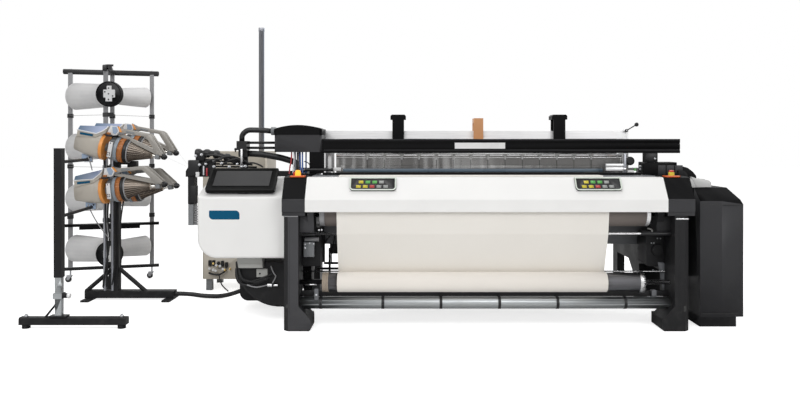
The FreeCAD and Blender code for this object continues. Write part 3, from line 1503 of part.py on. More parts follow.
def feeder_drum(row):
    """Drum and second ring, with the ribbed cone and the tip tube in front of them."""
    start = ring_half + ring_gap
    drum = turned([
        (start, 0), (start, drum_radius), (drum_end, drum_radius), (drum_end, second_ring_radius),
        (cone_start, second_ring_radius), (cone_start, 0),
    ], (0, 0, 0), (1, 0, 0))
    tip = bar((cone_end - 1, 0, 0), (tip_end, 0, 0), tip_radius)
    sections = []
    for along, radius in ((cone_start, cone_base_radius), (cone_end, cone_tip_radius)):
        section = []
        for index in range(2 * cone_ribs):
            turn = math.pi * index / cone_ribs
            reach = radius * (1 + cone_rib_share * (1 if index % 2 else -1))
            section.append(Vec(along, reach * math.cos(turn), reach * math.sin(turn)))
        sections.append(section)
    solid = joined([drum, ruled(sections), tip])
    solid.Placement = feeder_axis(row)
    return solid


def feeder_point(row, along, across, above):
    """Point given by its distances along, across and above a feeder's axis."""
    return feeder_axis(row).multVec(Vec(along, across, above))


def bracket_to_feeder(row):
    """Bracket from the stand's column to the side of a feeder's housing."""
    along = -ring_half - ring_gap - housing_length * (1 - housing_middle_share)
    side = 1 if row[0] < feeder_column[1] else -1
    reach = abs(row[0] - feeder_column[1]) - column_size / 2
    root = (-bracket_width / 2, bracket_width / 2)
    span = (side * housing_middle[0] / 2, side * reach)
    solid = block((along + root[0], along + root[1]), (min(span), max(span)), (-bracket_height / 2, bracket_height / 2))
    solid.Placement = feeder_axis(row)
    return solid


def feeder_stand():
    """Feeder stand: base beam on two feet, square column with splayed struts, four brackets with sleeves."""
    x_range, y_range, z_range = stand_base
    beam = block(*stand_base)
    half = column_size / 2
    cx, cy = feeder_column
    column = block((cx - half, cx + half), (cy - half, cy + half), (z_range[1], column_top))
    column = rounded(column, 6, edges_along(column, "z"))
    struts = []
    for side in (-1, 1):
        top = (cx, cy, z_range[1] + stand_leg_rise)
        strut = bar((cx + side * stand_leg_spread, cy, z_range[1] - 8), top, stand_leg_radius)
        struts.append(strut.cut([beam, column]))
    feet = []
    for x in (x_range[0] + stand_foot_radius + 6, x_range[1] - stand_foot_radius - 6):
        feet.append(block((x - stand_foot_radius, x + stand_foot_radius), (y_range[0] - 90, y_range[1] + 90), (0, z_range[0])))
    arms = []
    for row in feeder_rows:
        bracket = bracket_to_feeder(row)
        reach = bracket.BoundBox
        sleeve = block((reach.XMin, cx - half), (cy - half, cy + half), (reach.ZMin + 4, reach.ZMax - 4))
        arms.append(joined([bracket, sleeve]))
    upper = joined(arms[:2])
    lower = joined(arms[2:])
    return together([beam, column, upper, lower] + struts + feet)


def support_stand():
    """T-shaped support: base beam on two pad feet, telescopic post with a clamp knob, brace and two arms."""
    x_range, y_range, z_range = support_base
    cx, cy = support_post
    beam = block(*support_base)
    beam = bevelled(beam, 8, edges_along(beam, "x", z=z_range[1]))
    feet = []
    for x in (x_range[0] + 36, x_range[1] - 36):
        feet.append(bar((x, cy, 0), (x, cy, z_range[0]), support_foot_radius))
    half, inner = support_post_size / 2, support_inner_size / 2
    lower = block((cx - inner, cx + inner), (cy - inner, cy + inner), (z_range[1], support_split))
    post = block((cx - half, cx + half), (cy - half, cy + half), (support_split, support_top))
    clamp = block((cx - half - 4, cx + half + 4), (cy - half - 4, cy + half + 4), (support_knob_height - 18, support_knob_height + 18))
    knob = bar((cx + half + 4, cy, support_knob_height), (cx + half + 30, cy, support_knob_height), support_knob_radius)
    foot_plate = block((cx - 55, cx + 55), (y_range[0], y_range[1]), (z_range[1], z_range[1] + 10))
    brace = prism_y([(cx - inner, z_range[1] + support_brace_rise), (cx - inner, z_range[1] + support_brace_rise - 14),
                     (cx - 80, z_range[1]), (cx - 94, z_range[1])], (cy - 8, cy + 8))
    arms = []
    for row in (feeder_rows[0], feeder_rows[2]):
        seat = feeder_point(row, support_seat, 0, -housing_middle[1] / 2 - support_drop)
        rod = bar((cx, cy, seat.z), (seat.x, row[0] + 20, seat.z), support_arm_radius)
        grip = block((seat.x - 24, seat.x + 24), (row[0] - 22, row[0] + 22), (seat.z - 20, seat.z + support_drop + 20))
        arms += [rod.cut([post, grip]), grip]
    clamp_part = joined([clamp.cut(lower), knob])
    lower_part = joined([lower, foot_plate, brace]).cut(clamp_part)
    return together([beam, lower_part, post, clamp_part] + feet + arms)


def add_feeders():
    stand = feeder_stand()
    support = support_stand()
    drums = []
    for index, row in enumerate(feeder_rows):
        housing = feeder_housing(row)
        ring = winding_ring(row)
        pieces[f"feeder_housing_{index + 1}"] = housing
        pieces[f"winding_ring_{index + 1}"] = ring
        drums.append(feeder_drum(row))
        stand = stand.cut(housing)
        support = support.cut(housing)
    pieces["feeder_drums"] = together(drums)
    pieces["feeder_stand"] = stand
    pieces["support_stand"] = support


add_feeders()


def flat_bar(start, end, height, size):
    """Square bar between two places (x, y), level, centred at a height."""
    first = Vec(*start, height - size / 2)
    along = Vec(*end, height - size / 2) - first
    across = Vec(-along.y, along.x, 0).normalize() * (size / 2)
    return Part.Face(Part.makePolygon([first - across, first + across, first + across + along, first - across + along,
                                       first - across])).extrude(Vec(0, 0, size))


def square_post(place, z_range, half):
    """Upright square post in line with the creel's cross bars."""
    across = unit(creel_left, creel_right) * half
    along = Vec(-across.y, across.x, 0)
    centre = Vec(*place, z_range[0])
    corners = [centre + across + along, centre - across + along, centre - across - along, centre + across - along]
    return pushed(corners, Vec(0, 0, z_range[1] - z_range[0]))


def unit(start, end):
    """Level direction from one place (x, y) to another."""
    return Vec(end[0] - start[0], end[1] - start[1], 0).normalize()


def level(direction, degrees):
    """Level direction turned by an angle."""
    return FreeCAD.Rotation(Vec(0, 0, 1), degrees).multVec(direction)


def package_line(side):
    """Foot of a package's peg on its post and the direction of the peg, for the left or right column."""
    if side == "left":
        return Vec(*creel_left, 0), level(unit(creel_left, creel_right), -left_package[3]), left_package
    return Vec(*creel_right, 0), level(unit(creel_right, creel_left), right_package[3]), right_package


def creel_parts():
    """Creel: four square posts with collars, T-shaped top and bottom bars, pegs, backing discs."""
    solids = []
    posts = (creel_left, creel_right, creel_front, creel_middle)
    bar_half = creel_bar_size / 2
    low = creel_low_bar + bar_half
    for place in posts:
        post = square_post(place, (low, creel_height - creel_bar_size), creel_post_half)
        solids.append(post)
        for first, second in zip(creel_rows, creel_rows[1:]):
            middle = (first + second) / 2 + creel_collar_height
            collar = square_post(place, (middle, middle + creel_collar_height), creel_collar_half)
            solids.append(collar.cut(post))
    overhang = unit(creel_left, creel_right) * 60
    stem = unit(creel_middle, creel_front) * 30
    for height in (creel_height - bar_half, creel_low_bar):
        cross = flat_bar((creel_left[0] - overhang.x, creel_left[1] - overhang.y),
                         (creel_right[0] + overhang.x, creel_right[1] + overhang.y), height, creel_bar_size)
        leg = flat_bar(creel_middle, (creel_front[0] + stem.x, creel_front[1] + stem.y), height, creel_bar_size)
        solids += [cross, leg.cut(cross)]
    for side in ("left", "right"):
        foot, direction, package = package_line(side)
        for height in creel_rows:
            end = foot + direction * (creel_post_half + package_gap + package[0] * peg_share)
            peg = flat_bar((foot.x, foot.y), (end.x, end.y), height, peg_size)
            solids.append(peg.cut(square_post((foot.x, foot.y), (low, creel_height - creel_bar_size), creel_post_half)))
    toward = unit(creel_middle, creel_front)
    for height in disc_rows:
        start = Vec(*creel_front, height)
        outline = [(0, 0), (0, disc_pin_radius), (disc_gap, disc_pin_radius), (disc_gap, disc_radius),
                   (disc_gap + disc_thickness, disc_radius), (disc_gap + disc_thickness, disc_radius * 0.34),
                   (disc_gap + 3 * disc_thickness, disc_radius * 0.34), (disc_gap + 3 * disc_thickness, 0)]
        front_post = square_post(creel_front, (low, creel_height - creel_bar_size), creel_post_half)
        solids.append(turned(outline, tuple(start), tuple(toward)).cut(front_post))
    solids.append(square_post(creel_front, (creel_height, creel_height + creel_cap_height), creel_collar_half))
    solids.append(square_post(creel_front, (0, creel_low_bar - bar_half), creel_collar_half))
    return together(solids)


def yarn_packages():
    """Eight cone-shaped packages with crowned ends, each on its tube, over the pegs."""
    packages = []
    for side in ("left", "right"):
        foot, direction, (length, large, small, _) = package_line(side)
        for height in creel_rows:
            start = foot + Vec(0, 0, height) + direction * (creel_post_half + package_gap)
            outline = [
                (-tube_end, package_bore), (-tube_end, package_tube_radius), (0, package_tube_radius),
                (0, large - package_round), (package_round, large), (length - package_round, small),
                (length, small - package_round), (length, package_tube_radius), (length + tube_end, package_tube_radius),
                (length + tube_end, package_bore),
            ]
            packages.append(faceted(outline, package_sides, tuple(start), tuple(direction)))
    return together(packages)


def creel_tray():
    """Folded tray between the posts: a long blade with pointed ends and a turned-up front."""
    across = unit(creel_left, creel_right)
    toward = unit(creel_middle, creel_front)
    left = Vec(*creel_left, tray_height) - across * tray_overhang
    right = Vec(*creel_right, tray_height) + across * tray_overhang
    gap = creel_post_half + 0.2
    points = [left + toward * gap, right + toward * gap, right + toward * gap - across * 20 + toward * tray_blade * 0.4]
    points += [right - across * 150 + toward * (gap + tray_blade), left + across * 150 + toward * (gap + tray_blade)]
    points += [left + toward * gap + across * 20 + toward * tray_blade * 0.4]
    plate = pushed(points, Vec(0, 0, tray_wall))
    rim = [points[3], points[4], points[4] - toward * tray_wall, points[3] - toward * tray_wall]
    lip = pushed(rim, Vec(0, 0, -tray_depth))
    back_rim = [points[0], points[1], points[1] + toward * tray_wall, points[0] + toward * tray_wall]
    back = pushed(back_rim, Vec(0, 0, -tray_depth * 0.6))
    return joined([plate, lip, back])


def caster(place):
    """Caster fork on its stem, and its wheel on the fork's axle."""
    x, y = place
    axle = Vec(x - caster_trail, y, caster_radius)
    top = creel_low_bar - creel_bar_size / 2
    half = caster_width / 2 + caster_side_gap
    crown = caster_radius * 2 + 4
    stem = bar((x, y, crown), (x, y, top - 0.3), caster_stem)
    seat = block((x - caster_trail - 12, x + 14), (y - half - caster_fork_wall, y + half + caster_fork_wall), (crown, crown + 5))
    cheeks = []
    outline = [(axle.x - 9, axle.z - 6), (axle.x + 9, axle.z - 6), (x + 14, crown + 1), (x - caster_trail - 12, crown + 1)]
    for start in (y - half - caster_fork_wall, y + half):
        cheeks.append(prism_y(outline, (start, start + caster_fork_wall)))
    pin = bar((axle.x, y - half - caster_fork_wall - 2, axle.z), (axle.x, y + half + caster_fork_wall + 2, axle.z), caster_axle)
    fork = joined([stem, seat] + cheeks + [pin])
    side, edge = caster_width / 2, caster_edge
    wheel = faceted([
        (-side, 0), (-side, caster_radius - edge), (edge - side, caster_radius), (side - edge, caster_radius),
        (side, caster_radius - edge), (side, 0),
    ], caster_sides, tuple(axle), (0, 1, 0))
    bore = bar((axle.x, y - side, axle.z), (axle.x, y + side, axle.z), caster_axle + running_fit)
    return fork, wheel.cut(bore)


def add_creel():
    pieces["creel_frame"] = creel_parts()
    pieces["yarn_packages"] = yarn_packages()
    pieces["creel_tray"] = creel_tray()
    for index, place in enumerate((creel_left, creel_right)):
        fork, wheel = caster(place)
        pieces[f"caster_fork_{index + 1}"] = fork
        pieces[f"caster_wheel_{index + 1}"] = wheel


add_creel()
pieces["floor_hose"] = hose("floor hose", hose_route, hose_radius)


def whole_box():
    """Box of the whole object, without the free hose."""
    box = FreeCAD.BoundBox()
    for name, shape in pieces.items():
        if name != "floor_hose":
            box.add(shape.optimalBoundingBox(True, False))
    return box


box = whole_box()
origin_shift = Vec(-box.Center.x, -box.Center.y, -box.ZMin)
size = [round(value) for value in (box.XLength, box.YLength, box.ZLength)]
print("moved by", [round(value, 3) for value in origin_shift], "size", size)
for name, shape in pieces.items():
    shape.translate(origin_shift)
    shape.exportStep(f"parts/{name}.step")
print(len(pieces), "pieces")
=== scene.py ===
# %% [markdown]
# A power loom weaves cloth from thousands of threads. The exact solids of this one come from its
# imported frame, and this file gives them their finishes and adds what is too fine or too soft for
# solids. Sizes are in metres, and the frame's own coordinates are kept throughout.

# %% Load the frame
import bpy
import json
import math
from mathutils import Matrix, Vector

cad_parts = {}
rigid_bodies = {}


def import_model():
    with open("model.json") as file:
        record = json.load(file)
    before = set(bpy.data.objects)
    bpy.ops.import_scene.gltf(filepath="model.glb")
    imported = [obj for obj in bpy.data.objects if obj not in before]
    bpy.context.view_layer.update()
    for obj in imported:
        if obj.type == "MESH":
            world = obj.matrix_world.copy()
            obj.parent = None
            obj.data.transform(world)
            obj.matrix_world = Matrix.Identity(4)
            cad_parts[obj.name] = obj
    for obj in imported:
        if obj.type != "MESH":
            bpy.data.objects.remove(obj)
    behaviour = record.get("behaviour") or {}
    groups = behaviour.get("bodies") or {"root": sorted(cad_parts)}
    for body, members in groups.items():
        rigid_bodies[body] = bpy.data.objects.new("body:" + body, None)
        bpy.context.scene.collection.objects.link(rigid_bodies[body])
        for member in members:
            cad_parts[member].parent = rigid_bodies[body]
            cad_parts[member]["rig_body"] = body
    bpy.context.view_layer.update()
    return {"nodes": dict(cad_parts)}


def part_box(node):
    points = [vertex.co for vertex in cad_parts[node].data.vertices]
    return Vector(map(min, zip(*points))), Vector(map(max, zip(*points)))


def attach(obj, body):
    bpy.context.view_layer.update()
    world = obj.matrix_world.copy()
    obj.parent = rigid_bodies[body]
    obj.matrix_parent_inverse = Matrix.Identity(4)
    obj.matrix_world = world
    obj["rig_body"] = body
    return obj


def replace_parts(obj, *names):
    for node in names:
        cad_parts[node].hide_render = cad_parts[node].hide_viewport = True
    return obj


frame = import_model()

# %% [markdown]
# Places on a loom are easiest to name from its middle plane, from the front of its legs and from
# the floor. The cross tube between the feet gives the middle plane, and a side frame gives the front.

# %% Name the loom's own places
tube_low, tube_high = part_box("front_cross_tube")
middle_x = (tube_low.x + tube_high.x) / 2
front_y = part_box("side_frame_right")[0].y


def at(x, y, z):
    """Point to the right of the middle plane, behind the legs' front and above the floor."""
    return Vector((middle_x + x, front_y + y, z))


print("middle plane", round(middle_x, 4), "front of the legs", round(front_y, 4))

# %% [markdown]
# The picture is taken level, at chest height, a little to the left of the loom's middle. The
# camera stays level too, and a small shift of the lens puts the horizon where the picture has it.
# The field of view follows from the focal length in picture points and the picture's width.

# %% Place the camera
picture_width, picture_height = 800, 400
focal_points = 753.6
horizon_column, horizon_row = 410, 143
camera_place = at(-0.488, -4.8, 1.2)

bpy.ops.object.select_all(action="DESELECT")
bpy.ops.object.camera_add(location=camera_place, rotation=(math.radians(90), 0, 0))
camera = bpy.context.object
camera.name = "picture_camera"
camera.data.sensor_fit = "HORIZONTAL"
camera.data.angle = 2 * math.atan(picture_width / 2 / focal_points)
camera.data.shift_x = (picture_width / 2 - horizon_column) / picture_width
camera.data.shift_y = (horizon_row - picture_height / 2) / picture_width
bpy.context.scene.camera = camera
print("field of view", round(math.degrees(camera.data.angle), 1), "degrees")

# %% [markdown]
# A plain pale floor and soft lamps show a machine as a catalogue does. The floor and the world look
# white to the camera and in reflections, through the Light Path node, and light the loom softly.

# %% Floor, lamps and world
scene = bpy.context.scene
scene.view_settings.view_transform = "Standard"
white_strength, plain_strength, floor_glow = 1.0, 0.30, 0.75

world = bpy.data.worlds.new("studio")
world.use_nodes = True
scene.world = world
tree = world.node_tree
for node in list(tree.nodes):
    if node.type != "OUTPUT_WORLD":
        tree.nodes.remove(node)
light_path = tree.nodes.new("ShaderNodeLightPath")
seen = light_path.outputs["Is Camera Ray"]
for ray in ("Is Glossy Ray", "Is Transmission Ray"):
    either = tree.nodes.new("ShaderNodeMath")
    either.operation = "MAXIMUM"
    tree.links.new(seen, either.inputs[0])
    tree.links.new(light_path.outputs[ray], either.inputs[1])
    seen = either.outputs[0]
mixed = tree.nodes.new("ShaderNodeMixShader")
tree.links.new(seen, mixed.inputs[0])
for socket, strength in ((mixed.inputs[1], plain_strength), (mixed.inputs[2], white_strength)):
    light = tree.nodes.new("ShaderNodeBackground")
    light.inputs["Color"].default_value = (1, 1, 1, 1)
    light.inputs["Strength"].default_value = strength
    tree.links.new(light.outputs[0], socket)
output = next(node for node in tree.nodes if node.type == "OUTPUT_WORLD")
tree.links.new(mixed.outputs[0], output.inputs["Surface"])

bpy.ops.object.select_all(action="DESELECT")
bpy.ops.mesh.primitive_plane_add(size=60, location=(0, 0, -0.0005))
floor = bpy.context.object
floor.name = "studio_floor"
floor_finish = bpy.data.materials.new("pale floor")
floor_finish.use_nodes = True
floor_shader = floor_finish.node_tree.nodes["Principled BSDF"]
floor_shader.inputs["Base Color"].default_value = (0.9, 0.9, 0.9, 1)
floor_shader.inputs["Roughness"].default_value = 0.9
floor_shader.inputs["Emission Color"].default_value = (1, 1, 1, 1)
floor_path = floor_finish.node_tree.nodes.new("ShaderNodeLightPath")
glow = floor_finish.node_tree.nodes.new("ShaderNodeMath")
glow.operation = "MULTIPLY"
glow.inputs[1].default_value = floor_glow
floor_finish.node_tree.links.new(floor_path.outputs["Is Camera Ray"], glow.inputs[0])
floor_finish.node_tree.links.new(glow.outputs[0], floor_shader.inputs["Emission Strength"])
floor.data.materials.append(floor_finish)

for name, place, aim, size, power in (
        ("key lamp", at(-2.6, -4.2, 4.2), at(-0.3, 0.3, 0.8), (3.2, 2.2), 125),
        ("fill lamp", at(3.2, -4.6, 3.0), at(0.2, 0.3, 0.7), (3.0, 2.4), 80),
        ("top lamp", at(-0.4, 1.0, 4.6), at(-0.4, 0.6, 0.6), (5.0, 2.4), 85),
        ("back lamp", at(0.5, 5.0, 3.2), at(-0.2, 0.8, 0.9), (4.0, 2.0), 45)):
    data = bpy.data.lights.new(name, "AREA")
    data.shape = "RECTANGLE"
    data.size, data.size_y = size
    data.energy = power
    lamp = bpy.data.objects.new(name, data)
    lamp.location = place
    lamp.rotation_euler = (aim - place).to_track_quat("-Z", "Y").to_euler()
    scene.collection.objects.link(lamp)

# %% [markdown]
# Machine parts share a few surface effects: a fine paint grain, drawn or turned lines on bare
# metal, and dust that gathers low down. Each effect is a node group that is built once, and every
# finish sets its own values on it.

# %% Shared effects


def new_group(name, inputs, outputs):
    """Empty node group with named sockets: each is (name, kind, value)."""
    tree = bpy.data.node_groups.new(name, "ShaderNodeTree")
    for label, kind, value in inputs:
        socket = tree.interface.new_socket(label, in_out="INPUT", socket_type="NodeSocket" + kind)
        socket.default_value = value
    for label, kind in outputs:
        tree.interface.new_socket(label, in_out="OUTPUT", socket_type="NodeSocket" + kind)
    given, made = tree.nodes.new("NodeGroupInput"), tree.nodes.new("NodeGroupOutput")
    return tree, given.outputs, made.inputs


def feed(tree, socket, value):
    """Sets a socket to a number or a colour, or links it to the socket that feeds it."""
    if isinstance(value, (int, float)):
        socket.default_value = value
    elif isinstance(value, (tuple, list)):
        socket.default_value = (*value[:3], 1)
    else:
        tree.links.new(value, socket)


def noise(tree, scale, detail, vector):
    """Noise texture on a vector; its scale is a value or a socket."""
    node = tree.nodes.new("ShaderNodeTexNoise")
    node.inputs["Detail"].default_value = detail
    tree.links.new(vector, node.inputs["Vector"])
    feed(tree, node.inputs["Scale"], scale)
    return node.outputs["Fac"]


def object_place(tree):
    """A piece's own coordinates."""
    return tree.nodes.new("ShaderNodeTexCoord").outputs["Object"]


def separate(tree, vector):
    """The parts X, Y and Z of a vector."""
    node = tree.nodes.new("ShaderNodeSeparateXYZ")
    tree.links.new(vector, node.inputs[0])
    return node.outputs


def vector_node(tree, operation, first, second):
    """Vector math node between two sockets."""
    node = tree.nodes.new("ShaderNodeVectorMath")
    node.operation = operation
    tree.links.new(first, node.inputs[0])
    tree.links.new(second, node.inputs[1])
    return node.outputs


def shaded(tree, colour, value):
    """Colour made lighter or darker by a value."""
    node = tree.nodes.new("ShaderNodeHueSaturation")
    tree.links.new(colour, node.inputs["Color"])
    tree.links.new(value, node.inputs["Value"])
    return node.outputs[0]


def math_node(tree, operation, first, second=None, clamp=False):
    """Math node whose inputs are values or sockets."""
    node = tree.nodes.new("ShaderNodeMath")
    node.operation = operation
    node.use_clamp = clamp
    for index, value in enumerate((first, second)):
        if value is not None:
            feed(tree, node.inputs[index], value)
    return node.outputs[0]


def mix_colour(tree, factor, first, second):
    """Mix of two colours, each a value or a socket."""
    node = tree.nodes.new("ShaderNodeMix")
    node.data_type = "RGBA"
    tree.links.new(factor, node.inputs["Factor"])
    for socket, value in ((node.inputs[6], first), (node.inputs[7], second)):
        feed(tree, socket, value)
    return node.outputs[2]


def steps(tree, value, low, high, to_low=0.0, to_high=1.0):
    """Value stretched from one range to another, and held inside it."""
    node = tree.nodes.new("ShaderNodeMapRange")
    tree.links.new(value, node.inputs["Value"])
    for label, number in (("From Min", low), ("From Max", high), ("To Min", to_low), ("To Max", to_high)):
        feed(tree, node.inputs[label], number)
    return node.outputs["Result"]


def bump(tree, height, strength, distance):
    """Normal from a height."""
    node = tree.nodes.new("ShaderNodeBump")
    node.inputs["Distance"].default_value = distance
    feed(tree, node.inputs["Strength"], strength)
    tree.links.new(height, node.inputs["Height"])
    return node.outputs["Normal"]


def paint_group():
    """Powder coat or moulded skin: fine grain, uneven gloss, and dust that lies low down."""
    tree, given, made = new_group("painted skin", [
        ("Colour", "Color", (0.5, 0.5, 0.5, 1)), ("Dust colour", "Color", (0.4, 0.38, 0.35, 1)),
        ("Grain size", "Float", 900.0), ("Grain depth", "Float", 0.2), ("Gloss low", "Float", 0.35),
        ("Gloss high", "Float", 0.5), ("Dust", "Float", 0.3), ("Unevenness", "Float", 0.04)
    ], [("Colour", "Color"), ("Roughness", "Float"), ("Normal", "Vector")])
    place = object_place(tree)
    grain = noise(tree, given["Grain size"], 2, place)
    cloud = noise(tree, 5.0, 5, place)
    low = steps(tree, separate(tree, place)["Z"], 0.35, 0.02)
    patch = steps(tree, noise(tree, 22.0, 6, place), 0.48, 0.72)
    dust = math_node(tree, "MULTIPLY", math_node(tree, "ADD", low, 0.12), patch)
    dust = math_node(tree, "MULTIPLY", dust, given["Dust"], clamp=True)
    uneven = math_node(tree, "MULTIPLY", steps(tree, cloud, 0.3, 0.7, -1.0, 1.0), given["Unevenness"])
    shade = shaded(tree, given["Colour"], math_node(tree, "ADD", uneven, 1.0))
    tree.links.new(mix_colour(tree, dust, shade, given["Dust colour"]), made["Colour"])
    gloss = steps(tree, cloud, 0.35, 0.68, given["Gloss low"], given["Gloss high"])
    gloss = math_node(tree, "ADD", gloss, math_node(tree, "MULTIPLY", dust, 0.4), clamp=True)
    tree.links.new(gloss, made["Roughness"])
    tree.links.new(bump(tree, grain, given["Grain depth"], 0.0004), made["Normal"])
    return tree


def drawn_group():
    """Bare metal with fine lines along one direction and faint stains."""
    tree, given, made = new_group("drawn metal",
        [("Colour", "Color", (0.6, 0.6, 0.6, 1)), ("Stain colour", "Color", (0.3, 0.28, 0.26, 1)),
         ("Line stretch", "Vector", (4.0, 400.0, 400.0)), ("Line depth", "Float", 0.25),
         ("Gloss low", "Float", 0.2), ("Gloss high", "Float", 0.42), ("Stain", "Float", 0.25)],
        [("Colour", "Color"), ("Roughness", "Float"), ("Normal", "Vector")])
    place = object_place(tree)
    lines = noise(tree, 1.0, 3, vector_node(tree, "MULTIPLY", place, given["Line stretch"])["Vector"])
    cloud = noise(tree, 7.0, 6, place)
    stain = math_node(tree, "MULTIPLY", steps(tree, cloud, 0.5, 0.75), given["Stain"], clamp=True)
    shade = shaded(tree, given["Colour"], steps(tree, lines, 0.25, 0.75, 0.86, 1.12))
    tree.links.new(mix_colour(tree, stain, shade, given["Stain colour"]), made["Colour"])
    gloss = steps(tree, lines, 0.3, 0.7, given["Gloss low"], given["Gloss high"])
    tree.links.new(math_node(tree, "ADD", gloss, math_node(tree, "MULTIPLY", stain, 0.3), clamp=True),
        made["Roughness"])
    tree.links.new(bump(tree, lines, given["Line depth"], 0.0003), made["Normal"])
    return tree


def thread_group():
    """Parallel threads: raised lines across a direction with painted shade in the troughs, soft colour
    streaks, fine fuzz.
    """
    tree, given, made = new_group("parallel threads", [
        ("Colour", "Color", (0.8, 0.8, 0.8, 1)), ("Shadow colour", "Color", (0.5, 0.48, 0.44, 1)),
        ("Across", "Vector", (700.0, 0.0, 0.0)), ("Depth", "Float", 0.5), ("Streak", "Float", 0.5)
    ], [("Colour", "Color"), ("Roughness", "Float"), ("Normal", "Vector")])
    place = object_place(tree)
    wave = math_node(tree, "SINE", vector_node(tree, "DOT_PRODUCT", place, given["Across"])["Value"])
    streaks = noise(tree, 3.0, 3, place)
    fuzz = noise(tree, 1400.0, 2, place)
    height = math_node(tree, "ADD", wave, math_node(tree, "MULTIPLY", fuzz, 0.6))
    # The troughs between the threads darken towards the shade colour: painted shade. The streaks are the
    # yarn's own uneven tone.
    gap = math_node(tree, "MULTIPLY", steps(tree, wave, -0.2, -1.0), 0.45)
    streak = math_node(tree, "MULTIPLY", steps(tree, streaks, 0.4, 0.7), given["Streak"])
    shade_and_tone = math_node(tree, "ADD", gap, math_node(tree, "MULTIPLY", streak, 0.25), clamp=True)
    tree.links.new(mix_colour(tree, shade_and_tone, given["Colour"], given["Shadow colour"]), made["Colour"])
    tree.links.new(steps(tree, fuzz, 0.3, 0.7, 0.75, 0.95), made["Roughness"])
    tree.links.new(bump(tree, height, given["Depth"], 0.0004), made["Normal"])
    return tree


painted_skin = paint_group()
drawn_metal = drawn_group()
parallel_threads = thread_group()
print("shared effects", [tree.name for tree in bpy.data.node_groups])

# %% [markdown]
# A finish is a Principled shader fed by one of these groups. Powder-coated covers have a fine
# grain, castings a coarser one, and drawn rods and rollers have lines that run along them. Each
# finish also names the record's material slot that its pieces belong to.

# %% Finishes


def finish(name, slot, group, values, **shader_values):
    """Material with one shared effect feeding a Principled shader, whose plain values are set on it."""
    material = bpy.data.materials.new(name)
    material.use_nodes = True
    material["slot"] = slot
    tree = material.node_tree
    shader = tree.nodes["Principled BSDF"]
    effect = tree.nodes.new("ShaderNodeGroup")
    effect.node_tree = group
    tree.links.new(effect.outputs["Colour"], shader.inputs["Base Color"])
    tree.links.new(effect.outputs["Roughness"], shader.inputs["Roughness"])
    tree.links.new(effect.outputs["Normal"], shader.inputs["Normal"])
    for node, chosen in ((effect, values), (shader, shader_values)):
        for label, value in chosen.items():
            socket = node.inputs[label.replace("_", " ")]
            socket.default_value = (*value, 1) if socket.type == "RGBA" else value
    return material


def painted(name, slot, colour, grain_size=900.0, grain_depth=0.25, gloss=(0.35, 0.5), dust=0.1,
            dust_colour=(0.20, 0.19, 0.18), uneven=0.04, **shader_values):
    """Powder coat, casting paint or moulding."""
    values = {"Colour": colour, "Dust colour": dust_colour, "Grain size": grain_size,
              "Grain depth": grain_depth, "Gloss low": gloss[0], "Gloss high": gloss[1], "Dust": dust,
              "Unevenness": uneven}
    return finish(name, slot, painted_skin, values, **shader_values)


def moulded(name, slot, colour, grain_depth=0.05, gloss=(0.25, 0.35), dust=0.02, **other):
    """Moulding: a painted skin with a very fine grain."""
    return painted(name, slot, colour, 1500.0, grain_depth, gloss, dust, **other)


def drawn(name, slot, colour, stretch=(4.0, 420.0, 420.0), depth=0.25, gloss=(0.2, 0.42), stain=0.25,
          metal=1.0, **shader_values):
    """Bare metal with drawn or turned lines."""
    values = {"Colour": colour, "Line stretch": stretch, "Line depth": depth, "Gloss low": gloss[0],
              "Gloss high": gloss[1], "Stain": stain}
    return finish(name, slot, drawn_metal, values, Metallic=metal, **shader_values)


def threads(name, slot, colour, across, depth=0.5, streak=0.5, shade_and_tone=(0.5, 0.48, 0.44), **shader_values):
    """Cloth or warp: threads that lie side by side."""
    values = {"Colour": colour, "Shadow colour": shade_and_tone, "Across": across, "Depth": depth, "Streak": streak}
    return finish(name, slot, parallel_threads, values, Sheen_Weight=0.2, **shader_values)


black_casting = painted("black painted casting", "black_casting", (0.010, 0.010, 0.011), 260.0, 0.5,
    (0.42, 0.6), 0.06, uneven=0.12, Specular_IOR_Level=0.25)
black_cover = painted("black powder coat", "black_cover", (0.007, 0.007, 0.0075), 900.0, 0.3, (0.40, 0.55),
    0.02, uneven=0.08, Specular_IOR_Level=0.06)
# The left leg's front is the same black casting made lighter grey: a painted highlight from the front light.
lit_leg_front = painted("black leg front in painted light", "black_casting", (0.052, 0.052, 0.056), 260.0, 0.4, (0.4, 0.55),
    0.06, uneven=0.08, Specular_IOR_Level=0.3)
# Dark grey for small fields and strips, and also a painted highlight on black covers, whose faces towards the
# front light take it instead of black.
lit_black_and_dark_grey = painted("dark grey coat and painted-lit black", "black_cover", (0.032, 0.032, 0.035), 900.0, 0.3, (0.38, 0.52),
    0.03, uneven=0.06, Specular_IOR_Level=0.3)
white_cover = painted("white powder coat", "white_cover", (0.90, 0.895, 0.88), 1200.0, 0.12, (0.3, 0.45),
    0.01, (0.6, 0.58, 0.55), 0.012)
beige_cover = painted("beige powder coat", "beige_cover", (0.56, 0.51, 0.43), 1000.0, 0.2, (0.35, 0.5), 0.12,
    (0.3, 0.28, 0.25))
grey_paint = painted("grey paint", "grey_metal", (0.13, 0.135, 0.145), 500.0, 0.3, (0.35, 0.5), 0.2)
turned_steel = drawn("turned steel", "bright_steel", (0.52, 0.53, 0.55))
bright_rod = drawn("ground bright rod", "bright_steel", (0.72, 0.72, 0.73), depth=0.08, gloss=(0.15, 0.3),
    stain=0.05)
dark_steel = drawn("dark oiled steel", "grey_metal", (0.16, 0.16, 0.17), gloss=(0.25, 0.45), stain=0.3)
light_alloy = drawn("drawn light alloy", "light_alloy", (0.93, 0.93, 0.935), gloss=(0.35, 0.5), stain=0.05,
    metal=0.55)
heald_steel = drawn("heald steel", "bright_steel", (0.20, 0.195, 0.19), (420.0, 420.0, 6.0),
    gloss=(0.35, 0.5), stain=0.1, metal=0.6)
